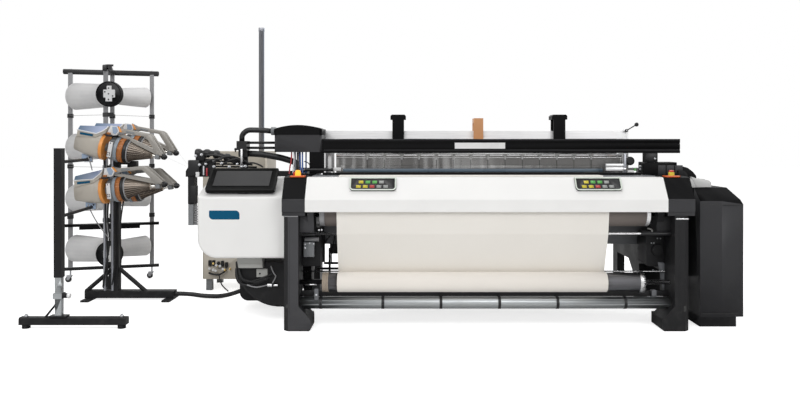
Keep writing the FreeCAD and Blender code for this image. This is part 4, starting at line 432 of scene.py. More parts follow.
reed_steel = drawn("reed steel", "bright_steel", (0.24, 0.235, 0.23), (420.0, 420.0, 6.0), gloss=(0.3, 0.45),
    stain=0.15)
upright_alloy = drawn("upright light alloy", "light_alloy", (0.40, 0.41, 0.45), (420.0, 420.0, 4.0), 0.08,
    (0.28, 0.4), 0.1, 0.7)
tube_steel = drawn("cross tube steel", "grey_metal", (0.44, 0.46, 0.47), gloss=(0.28, 0.42), stain=0.2)
rail_slate = moulded("slate blue rail", "grey_metal", (0.12, 0.17, 0.22), 0.08, (0.25, 0.4))
grip_covering = moulded("roller grip covering", "roller_grip", (0.21, 0.18, 0.165), 0.9, (0.6, 0.8), 0.05)
roll_ring = moulded("ribbed ring", "roller_grip", (0.44, 0.37, 0.30), 0.3, (0.5, 0.65), 0.05)
black_plastic = painted("black moulding", "black_plastic", (0.009, 0.009, 0.010), 1400.0, 0.2, (0.35, 0.5),
    0.03, Specular_IOR_Level=0.35)
red_plastic = moulded("red moulding", "red_plastic", (0.62, 0.02, 0.012), 0.05, (0.15, 0.28), Coat_Weight=0.4)
feeder_shell = moulded("beige feeder moulding", "feeder_shell", (0.50, 0.46, 0.40), 0.15, (0.3, 0.45), 0.05)
feeder_grey = moulded("grey-beige feeder arm", "feeder_shell", (0.36, 0.34, 0.31), 0.15, (0.3, 0.45), 0.05)
orange_plastic = moulded("orange moulding", "orange_plastic", (0.86, 0.34, 0.07), 0.08, (0.2, 0.35), 0.03,
    Coat_Weight=0.3)
brown_orange = moulded("brown-orange moulding", "orange_plastic", (0.42, 0.15, 0.04), 0.08, (0.25, 0.4), 0.03)
# The second ring is orange like the winding ring, darkened for the shade it lies in: painted shade.
orange_ring_in_shade = moulded("orange ring in painted shade", "orange_plastic", (0.42, 0.145, 0.035), 0.08, (0.2, 0.35), 0.03)
ring_grey = moulded("grey-blue ring", "feeder_shell", (0.25, 0.29, 0.33), 0.08, (0.2, 0.35), 0.03)
drum_coating = painted("hard-coated drum", "drum_metal", (0.62, 0.53, 0.45), 700.0, 0.15, (0.22, 0.34), 0.04,
    Metallic=0.8)
# Dark bronze for the gaps between the cone's ribs: painted shade.
rib_gap_shade = painted("painted shade between the cone's ribs", "drum_metal", (0.115, 0.09, 0.075), 700.0, 0.15, (0.3, 0.45),
    0.04, Metallic=0.6)
bright_tip = drawn("polished tip", "drum_metal", (0.68, 0.66, 0.62), gloss=(0.12, 0.25), stain=0.05)
rubber_black = painted("black rubber", "black_plastic", (0.022, 0.022, 0.022), 1200.0, 0.4, (0.6, 0.75), 0.2)
white_plastic = moulded("white moulding", "white_cover", (0.78, 0.78, 0.78), 0.1, (0.25, 0.4), 0.03,
    dust_colour=(0.5, 0.5, 0.5))
grey_plastic = moulded("grey moulding", "grey_metal", (0.23, 0.24, 0.25), 0.1, (0.3, 0.45), 0.05)
plate_blue = moulded("blue plate", "white_cover", (0.001, 0.085, 0.175), 0.05, (0.35, 0.48),
    Specular_IOR_Level=0.15)
terminal_black = painted("terminal bezel", "black_plastic", (0.008, 0.008, 0.008), 1600.0, 0.15, (0.4, 0.55),
    0.02, Specular_IOR_Level=0.06)
cover_blue = moulded("blue-grey cover", "feeder_shell", (0.10, 0.17, 0.30), 0.08, (0.15, 0.28),
    Coat_Weight=0.5)
pale_blue = moulded("pale blue moulding", "feeder_shell", (0.33, 0.42, 0.56), 0.08, (0.2, 0.35))
key_green = moulded("green key", "black_plastic", (0.10, 0.42, 0.08), 0.06, (0.3, 0.42))
key_yellow = moulded("yellow key", "black_plastic", (0.72, 0.60, 0.05), 0.06, (0.3, 0.42))
key_grey = moulded("grey key", "black_plastic", (0.36, 0.37, 0.36), 0.06, (0.3, 0.42))
key_red = moulded("red key", "red_plastic", (0.55, 0.06, 0.06), 0.06, (0.3, 0.42))
rim_white = moulded("white rim", "white_cover", (0.70, 0.76, 0.68), 0.06, (0.3, 0.42),
    dust_colour=(0.5, 0.5, 0.5))
tan_block = moulded("tan stop block", "grey_metal", (0.66, 0.33, 0.15), 0.1, (0.4, 0.55), 0.05)
screen_grey = painted("dark screen", "black_plastic", (0.028, 0.028, 0.029), 2200.0, 0.03, (0.3, 0.38), 0.03,
    Specular_IOR_Level=0.12)
lamp_orange = moulded("lit orange lamp", "orange_plastic", (0.90, 0.36, 0.03), 0.04, (0.15, 0.25), 0.01,
    Emission_Color=(1.0, 0.42, 0.03), Emission_Strength=0.9)
tube_red = moulded("red tube", "red_plastic", (0.42, 0.03, 0.04))
tube_blue = moulded("blue tube", "black_plastic", (0.03, 0.10, 0.36))
brown_tube = moulded("brown package tube", "warp_yarn", (0.10, 0.06, 0.04), 0.2, (0.5, 0.65), 0.05)
blue_tube = moulded("blue package ring", "warp_yarn", (0.08, 0.22, 0.42), 0.1, (0.4, 0.5))
cloth_finish = threads("undyed cloth", "cloth", (0.90, 0.87, 0.815), (5200.0, 0.0, 0.0), 0.2, 0.35,
    (0.76, 0.72, 0.66))
roll_finish = threads("wound cloth", "cloth", (0.95, 0.90, 0.835), (5200.0, 0.0, 0.0), 0.2, 0.3,
    (0.84, 0.79, 0.72))
signal_red = moulded("orange-red moulding", "red_plastic", (0.70, 0.12, 0.02), 0.05, (0.25, 0.38))
tube_white = moulded("white tube", "white_cover", (0.72, 0.74, 0.78), dust_colour=(0.5, 0.5, 0.5))
tube_grey = moulded("grey tube", "grey_metal", (0.30, 0.30, 0.31))
pale_box = painted("pale grey box", "grey_metal", (0.62, 0.62, 0.61), 1200.0, 0.1, (0.3, 0.45), 0.02)
light_grey = painted("light grey cast paint", "grey_metal", (0.42, 0.42, 0.40), 600.0, 0.3, (0.4, 0.55), 0.15)
brass = drawn("brass fitting", "bright_steel", (0.62, 0.44, 0.16), gloss=(0.25, 0.4), stain=0.1)
package_yarn_line = painted("single yarn", "warp_yarn", (0.50, 0.50, 0.50), 2500.0, 0.4, (0.6, 0.8), 0.02)
warp_finish = threads("warp threads", "warp_yarn", (0.76, 0.73, 0.68), (2600.0, 0.0, 0.0), 0.6, 0.6)


def blue_hood_sheen_finish():
    """Blue hood face with a painted sheen: it pales towards the feeder's front, along X."""
    material = painted("blue hood face with painted sheen", "feeder_shell", (0.1, 0.2, 0.3), 1500.0, 0.05, (0.14, 0.24), 0.0,
        Coat_Weight=0.5)
    tree = material.node_tree
    share = steps(tree, separate(tree, object_place(tree))["X"], middle_x - 2.985, middle_x - 2.790)
    effect = next(node for node in tree.nodes if node.type == "GROUP")
    tree.links.new(mix_colour(tree, share, (0.004, 0.075, 0.155), (0.36, 0.42, 0.60)),
        effect.inputs["Colour"])
    return material


blue_hood_sheen = blue_hood_sheen_finish()
print("finishes", len(bpy.data.materials) - 1)

# %% [markdown]
# Most small pieces on a machine are blocks with broken edges, turned rods and rings, plates cut to
# an outline, and tubes bent along a line. Each kind has one helper that starts from a primitive,
# shapes it in edit mode, keeps its place in its mesh, and lets it ride on the body that carries it.

# %% Helpers that model a piece
loom_origin = at(0, 0, 0)


def clear():
    """Nothing stays selected, so that an operator acts on the new piece alone."""
    bpy.ops.object.select_all(action="DESELECT")


def take(piece):
    """Only this piece is selected and active."""
    clear()
    piece.select_set(True)
    bpy.context.view_layer.objects.active = piece


def settle(piece, name, material, body="loom", angle=35):
    """Name, finish and body of a finished piece; its place goes into its mesh."""
    take(piece)
    bpy.ops.object.transform_apply(location=True, rotation=True, scale=True)
    if piece.type == "MESH" and angle:
        bpy.ops.object.shade_smooth_by_angle(angle=math.radians(angle))
    piece.name = name
    piece.data.name = name
    if material is not None:
        piece.data.materials.clear()
        piece.data.materials.append(material)
    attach(piece, body)
    return piece


def break_edges(piece, width, chosen=None, segments=2):
    """Bevels all edges of a piece, or those that a test picks, in edit mode."""
    take(piece)
    mesh = piece.data
    bpy.context.tool_settings.mesh_select_mode = (False, True, False)
    for item in (*mesh.polygons, *mesh.edges, *mesh.vertices):
        item.select = False
    for edge in mesh.edges:
        edge.select = chosen is None or chosen(*(mesh.vertices[index].co for index in edge.vertices))
        if edge.select:
            for index in edge.vertices:
                mesh.vertices[index].select = True
    bpy.ops.object.mode_set(mode="EDIT")
    bpy.ops.mesh.bevel(offset=width, segments=segments, affect="EDGES", clamp_overlap=True)
    bpy.ops.object.mode_set(mode="OBJECT")


def block(name, x_range, y_range, z_range, material, edge=0.002, body="loom", segments=2):
    """Block between three ranges, with broken edges."""
    low = at(x_range[0], y_range[0], z_range[0])
    high = at(x_range[1], y_range[1], z_range[1])
    clear()
    bpy.ops.mesh.primitive_cube_add(size=1, location=(low + high) / 2)
    piece = bpy.context.object
    piece.scale = high - low
    bpy.ops.object.transform_apply(location=True, rotation=True, scale=True)
    break_edges(piece, min(edge, 0.45 * min(high - low)), segments=segments)
    return settle(piece, name, material, body)


def rod(name, start, end, radius, material, body="loom", sides=20, far_radius=None, rim=0.15):
    """Turned rod or cone between two places, with rounded rims."""
    first, last = at(*start), at(*end)
    axis = last - first
    far_radius = radius if far_radius is None else far_radius
    clear()
    bpy.ops.mesh.primitive_cone_add(vertices=sides, radius1=radius, radius2=far_radius, depth=axis.length,
        location=(first + last) / 2, rotation=axis.to_track_quat("Z", "Y").to_euler())
    piece = bpy.context.object
    bpy.ops.object.transform_apply(location=True, rotation=True, scale=True)
    along = axis.normalized()

    def on_rim(one, two):
        return abs((one - two).dot(along)) < 0.1 * (one - two).length

    break_edges(piece, min(rim * min(radius, far_radius or radius), 0.3 * axis.length), on_rim)
    return settle(piece, name, material, body, 40)


def edit_all(piece, *operations):
    """Runs operators in edit mode, each on the whole of the piece."""
    take(piece)
    bpy.ops.object.mode_set(mode="EDIT")
    for operator, values in operations:
        bpy.ops.mesh.select_all(action="SELECT")
        operator(**values)
    bpy.ops.object.mode_set(mode="OBJECT")


def bare_piece(name, corners, edges, faces=()):
    """Piece with a mesh of the given corners, edges and faces."""
    mesh = bpy.data.meshes.new(name)
    mesh.from_pydata(corners, edges, faces)
    piece = bpy.data.objects.new(name, mesh)
    scene.collection.objects.link(piece)
    return piece


outward = (bpy.ops.mesh.normals_make_consistent, {"inside": False})


def spun(name, start, direction, profile, material, body="loom", sides=32, angle=30):
    """Turned piece: its outline, as distance along its axis and radius, is spun round that axis."""
    origin = at(*start)
    axis = Vector(direction).normalized()
    side = axis.orthogonal().normalized()
    corners = [origin + axis * along + side * radius for along, radius in profile]
    piece = bare_piece(name, corners, [(index, index + 1) for index in range(len(corners) - 1)])
    edit_all(piece, (bpy.ops.mesh.spin,
                 {"steps": sides, "angle": 2 * math.pi, "center": origin, "axis": axis}),
             (bpy.ops.mesh.remove_doubles, {"threshold": 0.00003}), outward)
    return settle(piece, name, material, body, angle)


def ring_outline(inner, outer, depth, chamfer=0.0):
    """Closed outline of a ring, for spinning, with chamfered outer rims."""
    rims = [(0, outer), (depth, outer)]
    if chamfer:
        rims = [(0, outer - chamfer), (chamfer, outer), (depth - chamfer, outer), (depth, outer - chamfer)]
    return [(0, inner), *rims, (depth, inner), (0, inner)]


def plate(name, corners, step, material, edge=0.001, body="loom", segments=1):
    """Flat outline with the given corners, pulled out by a step and bevelled."""
    clear()
    bpy.ops.mesh.primitive_circle_add(vertices=len(corners), fill_type="NGON")
    piece = bpy.context.object
    for vertex, corner in zip(piece.data.vertices, corners):
        vertex.co = at(*corner)
    edit_all(piece, (bpy.ops.mesh.extrude_region_move, {"TRANSFORM_OT_translate": {"value": step}}), outward)
    if edge:
        break_edges(piece, edge, segments=segments)
    return settle(piece, name, material, body)


def lofted(name, sections, material, body="loom", angle=30, edge=0.0):
    """Closed shape through outlines with equally many corners: its loops are bridged, its ends filled."""
    count = len(sections[0])
    corners = [at(*corner) for section in sections for corner in section]
    edges = [(row * count + index, row * count + (index + 1) % count) for row in range(len(sections))
             for index in range(count)]
    piece = bare_piece(name, corners, edges)
    edit_all(piece, (bpy.ops.mesh.bridge_edge_loops, {}), (bpy.ops.mesh.fill_holes, {"sides": 0}), outward)
    if edge:
        break_edges(piece, edge)
    return settle(piece, name, material, body, angle)


def line(name, points, radius, material, body="loom", sides=3):
    """Wire, tube or pipe along a smooth NURBS line through its control points."""
    data = bpy.data.curves.new(name, "CURVE")
    data.dimensions = "3D"
    spline = data.splines.new("NURBS")
    spline.points.add(len(points) - 1)
    for point, place in zip(spline.points, points):
        point.co = (*at(*place), 1)
    spline.order_u = 3
    spline.use_endpoint_u = True
    data.resolution_u = 8
    data.bevel_depth = radius
    data.bevel_resolution = sides
    data.use_fill_caps = True
    piece = bpy.data.objects.new(name, data)
    scene.collection.objects.link(piece)
    data.materials.append(material)
    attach(piece, body)
    return piece


def tube(name, points, radius, material, sides=1):
    """Mesh tube along a smooth line, so that it can be joined with other pieces."""
    take(line(name, points, radius, material, sides=sides))
    bpy.ops.object.convert(target="MESH")
    return settle(bpy.context.object, name, material)


def line_length(piece):
    """Length of a curve's own line, measured on a bare copy of it."""
    bare = piece.copy()
    bare.data = piece.data.copy()
    bare.data.bevel_depth = 0
    mesh = bpy.data.meshes.new_from_object(bare)
    places = [vertex.co.copy() for vertex in mesh.vertices]
    bpy.data.meshes.remove(mesh)
    bpy.data.curves.remove(bare.data)
    return sum((second - first).length for first, second in zip(places, places[1:]))


def cord(name, points, radius, material, body="loom"):
    """Free cord, hose or yarn between the places it leaves and enters."""
    piece = line(name, points, radius, material, body)
    length = line_length(piece)
    return piece


def repeat(piece, steps):
    """Copies of a piece, each with its own mesh moved by a step, joined with it into one piece."""
    copies = []
    for step in steps:
        twin = piece.copy()
        twin.data = piece.data.copy()
        twin.data.transform(Matrix.Translation(step))
        scene.collection.objects.link(twin)
        copies.append(twin)
    take(piece)
    for twin in copies:
        twin.select_set(True)
    bpy.ops.object.join()
    return piece


def in_a_row(piece, count, pitch):
    """Array of a piece along X, applied."""
    row = piece.modifiers.new("row", "ARRAY")
    row.count = count
    row.use_relative_offset = False
    row.use_constant_offset = True
    row.constant_offset_displace = (pitch, 0, 0)
    take(piece)
    bpy.ops.object.modifier_apply(modifier=row.name)
    return piece


def joined(name, *parts):
    """Several shapes joined into one piece, each keeping its finish."""
    take(parts[0])
    for part in parts[1:]:
        part.select_set(True)
    bpy.ops.object.join()
    parts[0].name = name
    parts[0].data.name = name
    return parts[0]


def rounded_corners(outline, radii, steps=5):
    """Outline of (a, b) corners with each corner rounded by its radius."""
    made = []
    count = len(outline)
    for index, (corner, radius) in enumerate(zip(outline, radii)):
        here = Vector(corner)
        before = (Vector(outline[index - 1]) - here).normalized()
        after = (Vector(outline[(index + 1) % count]) - here).normalized()
        if radius == 0:
            made.append(tuple(here))
            continue
        half = math.acos(max(-1, min(1, before.dot(after)))) / 2
        centre = here + (before + after).normalized() * (radius / math.sin(half))
        reach = radius / math.tan(half)
        start, end = here + before * reach - centre, here + after * reach - centre
        turn = math.atan2(start.x * end.y - start.y * end.x, start.dot(end))
        for step in range(steps + 1):
            angle = turn * step / steps
            made.append((centre.x + start.x * math.cos(angle) - start.y * math.sin(angle),
                         centre.y + start.x * math.sin(angle) + start.y * math.cos(angle)))
    return made


print("helpers ready")

# %% [markdown]
# Some solids carry more than one finish, such as a post with a painted bar on it. Their shape is
# right, so a copy of the solid is merged, its sharp edges are kept, and its faces are given their
# finishes by where they lie. The copy stands for the solid and rides on the same body.

# %% Helper that dresses a solid in several finishes


def first_finish(x, y, z, normal):
    """Rule that gives every face the first finish."""
    return 0


def dressed(node_name, materials, choose=first_finish, angle=30):
    """Copy of a solid; a rule picks each face's finish from its middle and the way it looks."""
    node = frame["nodes"][node_name]
    piece = bpy.data.objects.new(f"{node_name}_dressed", node.data.copy())
    scene.collection.objects.link(piece)
    piece.data.materials.clear()
    edit_all(piece, (bpy.ops.mesh.remove_doubles, {"threshold": 0.00002}))
    bpy.ops.object.shade_smooth_by_angle(angle=math.radians(angle))
    for material in materials:
        piece.data.materials.append(material)
    for face in piece.data.polygons:
        face.material_index = int(choose(*(face.center - loom_origin), face.normal))
    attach(piece, node["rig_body"])
    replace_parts(piece, node_name)
    return piece


# %% [markdown]
# A hose runs over the floor from the feeders' stand to the drive housing. It is stiff, so it leaves
# the stand's tube straight, touches the floor in the middle and rises to its gland. A NURBS line
# through a few control points gives that one smooth curve.

# %% Floor hose
hose_points = [(-2.294, 1.000, 0.041), (-2.190, 1.000, 0.041), (-2.080, 1.016, 0.0185),
    (-1.890, 1.008, 0.0185), (-1.740, 0.925, 0.092)]
floor_hose = cord("floor_hose_line", hose_points, 0.017, black_plastic)
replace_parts(floor_hose, "floor_hose")
print("floor hose done")

# %% [markdown]
# Cloth and warp run over rollers as one taut sheet each. The way of a sheet is the belt line round
# its rollers: straight runs and arcs. That line is drawn as edges, pulled across the width in
# narrow strips, and given the thickness of cloth.

# %% Belt line and stretched sheets


def belt_line(stops, run_step=0.02, bend_step=0.006):
    """Line of a sheet over round stops (y, z, radius, side), as (y, z) points with its length so far."""
    contacts = []
    for first, second in zip(stops, stops[1:]):
        dy, dz = second[0] - first[0], second[1] - first[1]
        reach = second[2] * second[3] - first[2] * first[3]
        heading = math.atan2(dz, dy) - math.asin(reach / math.hypot(dy, dz))
        for stop in (first, second):
            signed = stop[2] * stop[3]
            contacts.append((stop[0] + signed * math.sin(heading), stop[1] - signed * math.cos(heading),
                    heading))
    points = []
    for index in range(0, len(contacts), 2):
        first, second = contacts[index], contacts[index + 1]
        count = max(1, round(math.dist(first[:2], second[:2]) / run_step))
        points += [tuple(first[axis] + (second[axis] - first[axis]) * step / count for axis in (0, 1))
                   for step in range(count)]
        if index + 2 < len(contacts):
            stop = stops[index // 2 + 1]
            change = math.remainder(contacts[index + 2][2] - second[2], 2 * math.pi)
            if change * stop[3] < 0:
                change += 2 * math.pi * stop[3]
            signed = stop[2] * stop[3]
            count = max(3, round(abs(change) * stop[2] / bend_step))
            for step in range(count):
                angle = second[2] + change * step / count
                points.append((stop[0] + signed * math.sin(angle), stop[1] - signed * math.cos(angle)))
        else:
            points.append(second[:2])
    return points


def stretched_sheet(name, stops, left, right, columns, thickness, material, node, ripple=0.0):
    """Sheet over its stops between two places across the loom, with faint ripples along its threads."""
    points = belt_line(stops)
    corners, faces = [], []
    for column in range(columns + 1):
        x = left + (right - left) * column / columns
        for row, (y, z) in enumerate(points):
            wave = ripple * math.sin(9.0 * x + 0.4 * row) * math.sin(23.0 * x)
            corners.append(at(x, y - wave, z))
    rows = len(points)
    for column in range(columns):
        for row in range(rows - 1):
            start = column * rows + row
            faces.append((start, start + 1, start + rows + 1, start + rows))
    piece = bare_piece(name, corners, [], faces)
    take(piece)
    skin = piece.modifiers.new("thickness", "SOLIDIFY")
    skin.thickness = thickness
    skin.offset = 0
    bpy.ops.object.modifier_apply(modifier=skin.name)
    settle(piece, name, material, angle=60)
    length = sum(math.dist(first, second) for first, second in zip(points, points[1:]))
    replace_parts(piece, node)
    return piece, length


cloth_left, cloth_right = -0.959, 0.789
cloth_stops = [(0.395, 0.984, 0, 1), (0.1881, 0.9748, 0.0092, 1), (0.14, 0.74, 0.0861, -1),
    (0.04484, 0.79, 0.0211, 1), (0.062, 0.615, 0.0096, 1), (0.11, 0.295, 0.0661, -1)]
cloth, cloth_length = stretched_sheet("woven_cloth", cloth_stops, cloth_left, cloth_right, 70, 0.0009,
    cloth_finish, "cloth_sheet", 0.0001)
print("cloth", round(cloth_right - cloth_left, 3), "by", round(cloth_length, 3))

warp_left, warp_right = -0.965, 0.795
warp_stops = [(0.544, 0.984, 0, 1), (1.38, 0.9259, 0.0581, -1), (1.15, 0.5, 0.2211, -1)]
warp, warp_length = stretched_sheet("warp_threads", warp_stops, warp_left, warp_right, 60, 0.0008,
    warp_finish, "warp_sheet")
print("warp", round(warp_right - warp_left, 3), "by", round(warp_length, 3))

# %% [markdown]
# Wound cloth and wound yarn are round bodies with a layered face at each end. Their outline is spun
# round the axis of the beam, a little uneven at the edges, as layers on a roll are.

# %% Wound cloth and wound warp


def wound(name, place, left, right, inner, outer, material, body, node, layers, uneven):
    """Winding on a beam: layered ends, and an outside that is not quite even."""
    height = outer - inner
    left_end = [(uneven * math.sin(3.7 * index + 1), inner + height * index / layers)
                for index in range(layers + 1)]
    right_end = [(right - left + uneven * math.sin(2.9 * index), inner + height * index / layers)
                 for index in range(layers, -1, -1)]
    piece = spun(name, (left, *place), (1, 0, 0), left_end + right_end + [left_end[0]], material, body, 72,
                 50)
    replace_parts(piece, node)
    return piece


wound_cloth = wound("wound_cloth", (0.11, 0.295), cloth_left + 0.001, cloth_right - 0.001, 0.0613, 0.0649,
    roll_finish, "cloth_roll", "cloth_winding", 4, 0.0007)
wound_warp = wound("wound_warp", (1.15, 0.5), warp_left + 0.001, warp_right - 0.001, 0.0753, 0.2198,
    warp_finish, "warp_beam", "warp_winding", 12, 0.0008)
print("windings", wound_cloth.name, wound_warp.name)

# %% [markdown]
# A yarn package is wound crosswise on a tube, so its surface shows crossing bands and its ends are
# crowned. The outline is spun round the peg's axis, and a UV map that follows the winding carries
# the crossing threads in the material.

# %% Yarn packages
turns_on_package, threads_along_package = 9, 520.0


def crossing_yarn(name, colour, shade_and_tone):
    """Cross-wound yarn: two families of slanting threads on the piece's own UV map."""
    material = bpy.data.materials.new(name)
    material.use_nodes = True
    material["slot"] = "warp_yarn"
    tree = material.node_tree
    shader = tree.nodes["Principled BSDF"]
    place = tree.nodes.new("ShaderNodeUVMap")
    place.uv_map = "winding"
    turn, along, above = separate(tree, place.outputs[0])
    round_part = math_node(tree, "MULTIPLY", turn, 2 * math.pi * turns_on_package)
    along_part = math_node(tree, "MULTIPLY", along, threads_along_package)
    one = math_node(tree, "SINE", math_node(tree, "ADD", along_part, round_part))
    two = math_node(tree, "SINE", math_node(tree, "SUBTRACT", along_part, round_part))
    height = math_node(tree, "MAXIMUM", one, two)
    coordinates = object_place(tree)
    fuzz = noise(tree, 900.0, 3, coordinates)
    cloud = noise(tree, 9.0, 3, coordinates)
    # Where the crossing threads dip, the yarn darkens: painted shade. The cloud is the yarn's own uneven
    # tone.
    band = math_node(tree, "MULTIPLY", steps(tree, height, 0.6, -0.6), 0.28)
    dim = math_node(tree, "ADD", band, steps(tree, cloud, 0.35, 0.7, 0.0, 0.25), clamp=True)
    tree.links.new(mix_colour(tree, dim, colour, shade_and_tone), shader.inputs["Base Color"])
    tree.links.new(steps(tree, fuzz, 0.3, 0.7, 0.75, 0.95), shader.inputs["Roughness"])
    rough_height = math_node(tree, "ADD", height, fuzz)
    tree.links.new(bump(tree, rough_height, 0.35, 0.0006), shader.inputs["Normal"])
    shader.inputs["Sheen Weight"].default_value = 0.25
    return material


def winding_map(piece, start, direction):
    """UV map of a turned piece: turns round its axis, and metres along it."""
    origin, axis = at(*start), Vector(direction).normalized()
    side = axis.orthogonal().normalized()
    across = axis.cross(side)
    layer = piece.data.uv_layers.new(name="winding")
    for face in piece.data.polygons:
        middle = face.center - origin
        here = math.atan2(middle.dot(across), middle.dot(side)) / (2 * math.pi)
        for loop in face.loop_indices:
            spoke = piece.data.vertices[piece.data.loops[loop].vertex_index].co - origin
            turn = math.atan2(spoke.dot(across), spoke.dot(side)) / (2 * math.pi)
            turn += round(here - turn)
            layer.data[loop].uv = (turn, spoke.dot(axis))


package_yarn = crossing_yarn("cross-wound yarn", (0.80, 0.795, 0.79), (0.60, 0.60, 0.62))
creel_rows = (1.600, 1.165, 0.730, 0.296)
package_lines = (("left", (-3.379, 1.6862), (0.9373, -0.3484, 0), 0.320, 0.115, 0.100),
    ("right", (-2.8061, 1.8613), (-0.687, -0.7267, 0), 0.280, 0.088, 0.072))
bore = 0.0305
shown_packages = []
for side, foot, direction, length, large, small in package_lines:
    outline = [(0.001, bore), (0.0005, large * 0.55), (0.004, large - 0.020), (0.009, large - 0.007),
               (0.020, large), (length * 0.5, (large + small) / 2 + 0.001), (length - 0.022, small),
               (length - 0.010, small - 0.006), (length - 0.004, small - 0.018),
               (length - 0.001, small * 0.6), (length - 0.001, bore)]
    far = Vector(direction) * (length - 0.004)
    for row, height in enumerate(creel_rows):
        start = (*foot, height)
        yarn = spun(f"yarn_{side}_{row + 1}", start, direction, outline, package_yarn, sides=48, angle=60)
        winding_map(yarn, start, direction)
        shown_packages.append(yarn)
        end = (foot[0] + far.x, foot[1] + far.y, height)
        shown_ring = spun(f"tube_ring_{side}_{row + 1}", end, direction,
            [(0, 0.0295), (0, 0.041), (0.005, 0.041), (0.006, 0.0295), (0, 0.0295)], blue_tube, sides=28)
        shown_tube = spun(f"tube_end_{side}_{row + 1}", end, direction,
            [(0, 0.020), (0, 0.029), (0.012, 0.029), (0.0135, 0.0275), (0.0135, 0.0215), (0, 0.020)],
            brown_tube, sides=28)
        joined(f"package_tube_{side}_{row + 1}", shown_tube, shown_ring)
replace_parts(shown_packages[0], "yarn_packages")
print("packages", len(shown_packages))

# %% [markdown]
# The plain nodes get one finish each.

# %% Finishes of the plain nodes
finishes = {
    "side_frame_right": black_casting, "drive_motor": black_casting,
    "breast_cover": white_cover, "left_cover": white_cover, "cross_beams": grey_paint,
    "inner_drives": black_casting, "terminal_bracket": grey_paint, "press_roller": turned_steel,
    "warp_barrel": turned_steel, "whip_roller": turned_steel, "sley": dark_steel,
    "caster_fork_1": turned_steel, "caster_fork_2": turned_steel,
    "caster_wheel_1": rubber_black, "caster_wheel_2": rubber_black, "stop_button_left": lamp_orange,
    "creel_tray": black_cover, "feeder_stand": black_casting,
}
for index in range(1, 5):
    finishes[f"feeder_housing_{index}"] = feeder_shell
    finishes[f"winding_ring_{index}"] = orange_plastic
    finishes[f"heald_frame_{index}"] = light_alloy
for name, material in finishes.items():
    node = frame["nodes"][name]
    node.data.materials.clear()
    node.data.materials.append(material)
print("finished nodes", len(finishes), "of", len(frame["nodes"]))

# %% [markdown]
# The key panels lie on the slope of the breast cover. Each has a pale rim, a black field and two
# rows of coloured keys. A face's place along the slope tells what it belongs to, so the dressed
# copy takes its colours from that.

# %% Key panels
slope_foot, slope_up, slope_out = (0.0375, 0.8903), (0.5896, 0.8077), (-0.8077, 0.5896)
panel_centre, panel_half = 0.727, 0.15
key_faces, key_rows, key_pitch = (0.0092, 0.0116), (0.018, 0.047, 0.08), 0.044
key_colours = ([2, 2, 5, 4, 4], [2, 3, 3, 4])


def panel_part(x, y, z, normal):
    """0 body, 1 rim, 2 yellow key, 3 green key, 4 grey key, 5 red key."""
    across = x + panel_half - math.copysign(panel_centre, x)
    rise = (y - slope_foot[0]) * slope_up[0] + (z - slope_foot[1]) * slope_up[1]
    out = (y - slope_foot[0]) * slope_out[0] + (z - slope_foot[1]) * slope_out[1]
    if out > key_faces[1]:
        return 1
    if key_faces[0] < out and key_rows[0] < rise < key_rows[2]:
        row = 0 if rise < key_rows[1] else 1
        key = int((across - (0.036, 0.052)[row]) / key_pitch)
        if 0 <= key < len(key_colours[row]):
            return key_colours[row][key]
    return 0


dressed("key_panels", [black_plastic, rim_white, key_yellow, key_green, key_grey, key_red], panel_part)
for side, centre in (("left", -panel_centre), ("right", panel_centre)):
    block(f"panel_seal_{side}", (centre - 0.149, centre + 0.149), (0.0372, 0.0392), (0.8895, 0.8915),
          rubber_black, 0.0006)
print("key panels dressed")

# %% [markdown]
# A profiled reed is a comb of thin steel dents, a few millimetres apart, and each dent has a notch
# in its front. Side by side the notches form the tunnel that guides the weft's air jet. One dent is
# cut to its outline, and an Array modifier sets the rest beside it, so each stays a few faces.

# %% Reed dents, frame, cap and clips
dent_pitch, dent_count, first_dent = 0.0027, 735, -0.991
reed_half, reed_front, reed_back = 1.009, 0.520, 0.532
clip_pitch, clip_steps = 0.1215, range(1, 14)
dent_outline = [(0.5212, 0.9600), (0.5212, 1.0240), (0.5262, 1.0262), (0.5262, 1.0420), (0.5212, 1.0445),
    (0.5212, 1.1090), (0.5305, 1.1090), (0.5305, 0.9600)]
dent = in_a_row(plate("reed_dents", [(first_dent, y, z) for y, z in dent_outline], (0.0015, 0, 0), reed_steel,
        0, "sley"), dent_count, dent_pitch)
bars = [block(f"reed_{name}", across, (reed_front, reed_back), upright, reed_steel, 0.001, "sley") for name,
        across, upright in (("foot", (-reed_half, reed_half), (0.945, 0.9605)),
            ("head", (-reed_half, reed_half), (1.1085, 1.124)),
            ("end_left", (-reed_half, -0.9905), (0.9603, 1.1087)),
            ("end_right", (0.9935, reed_half), (0.9603, 1.1087)))]
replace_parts(joined("reed_frame", *bars), "reed")
block("reed_cap", (-reed_half, reed_half), (0.5175, 0.5195), (1.1095, 1.1235), bright_rod, 0.0006, "sley")
block("reed_strip", (-reed_half, reed_half), (0.5180, 0.5196), (1.0960, 1.1000), bright_rod, 0.0004, "sley")
clip_outline = [(-0.021, 1.1235), (0.021, 1.1235), (0.021, 1.1190), (0.0062, 1.1060), (0.0062, 1.0830),
    (-0.0062, 1.0830), (-0.0062, 1.1060), (-0.021, 1.1190)]
clip = plate("reed_clips", [(-0.789 + x, 0.5172, z) for x, z in clip_outline], (0, -0.004, 0), white_plastic,
             0.0006, "sley")
repeat(clip, [(clip_pitch * step, 0, 0) for step in clip_steps])
seam = block("reed_seams", (-0.790, -0.788), (0.5168, 0.5195), (1.0210, 1.0860), black_cover, 0.0004, "sley")
repeat(seam, [(clip_pitch * step, 0, 0) for step in clip_steps])
print("dents", dent_count, "faces", len(dent.data.polygons))

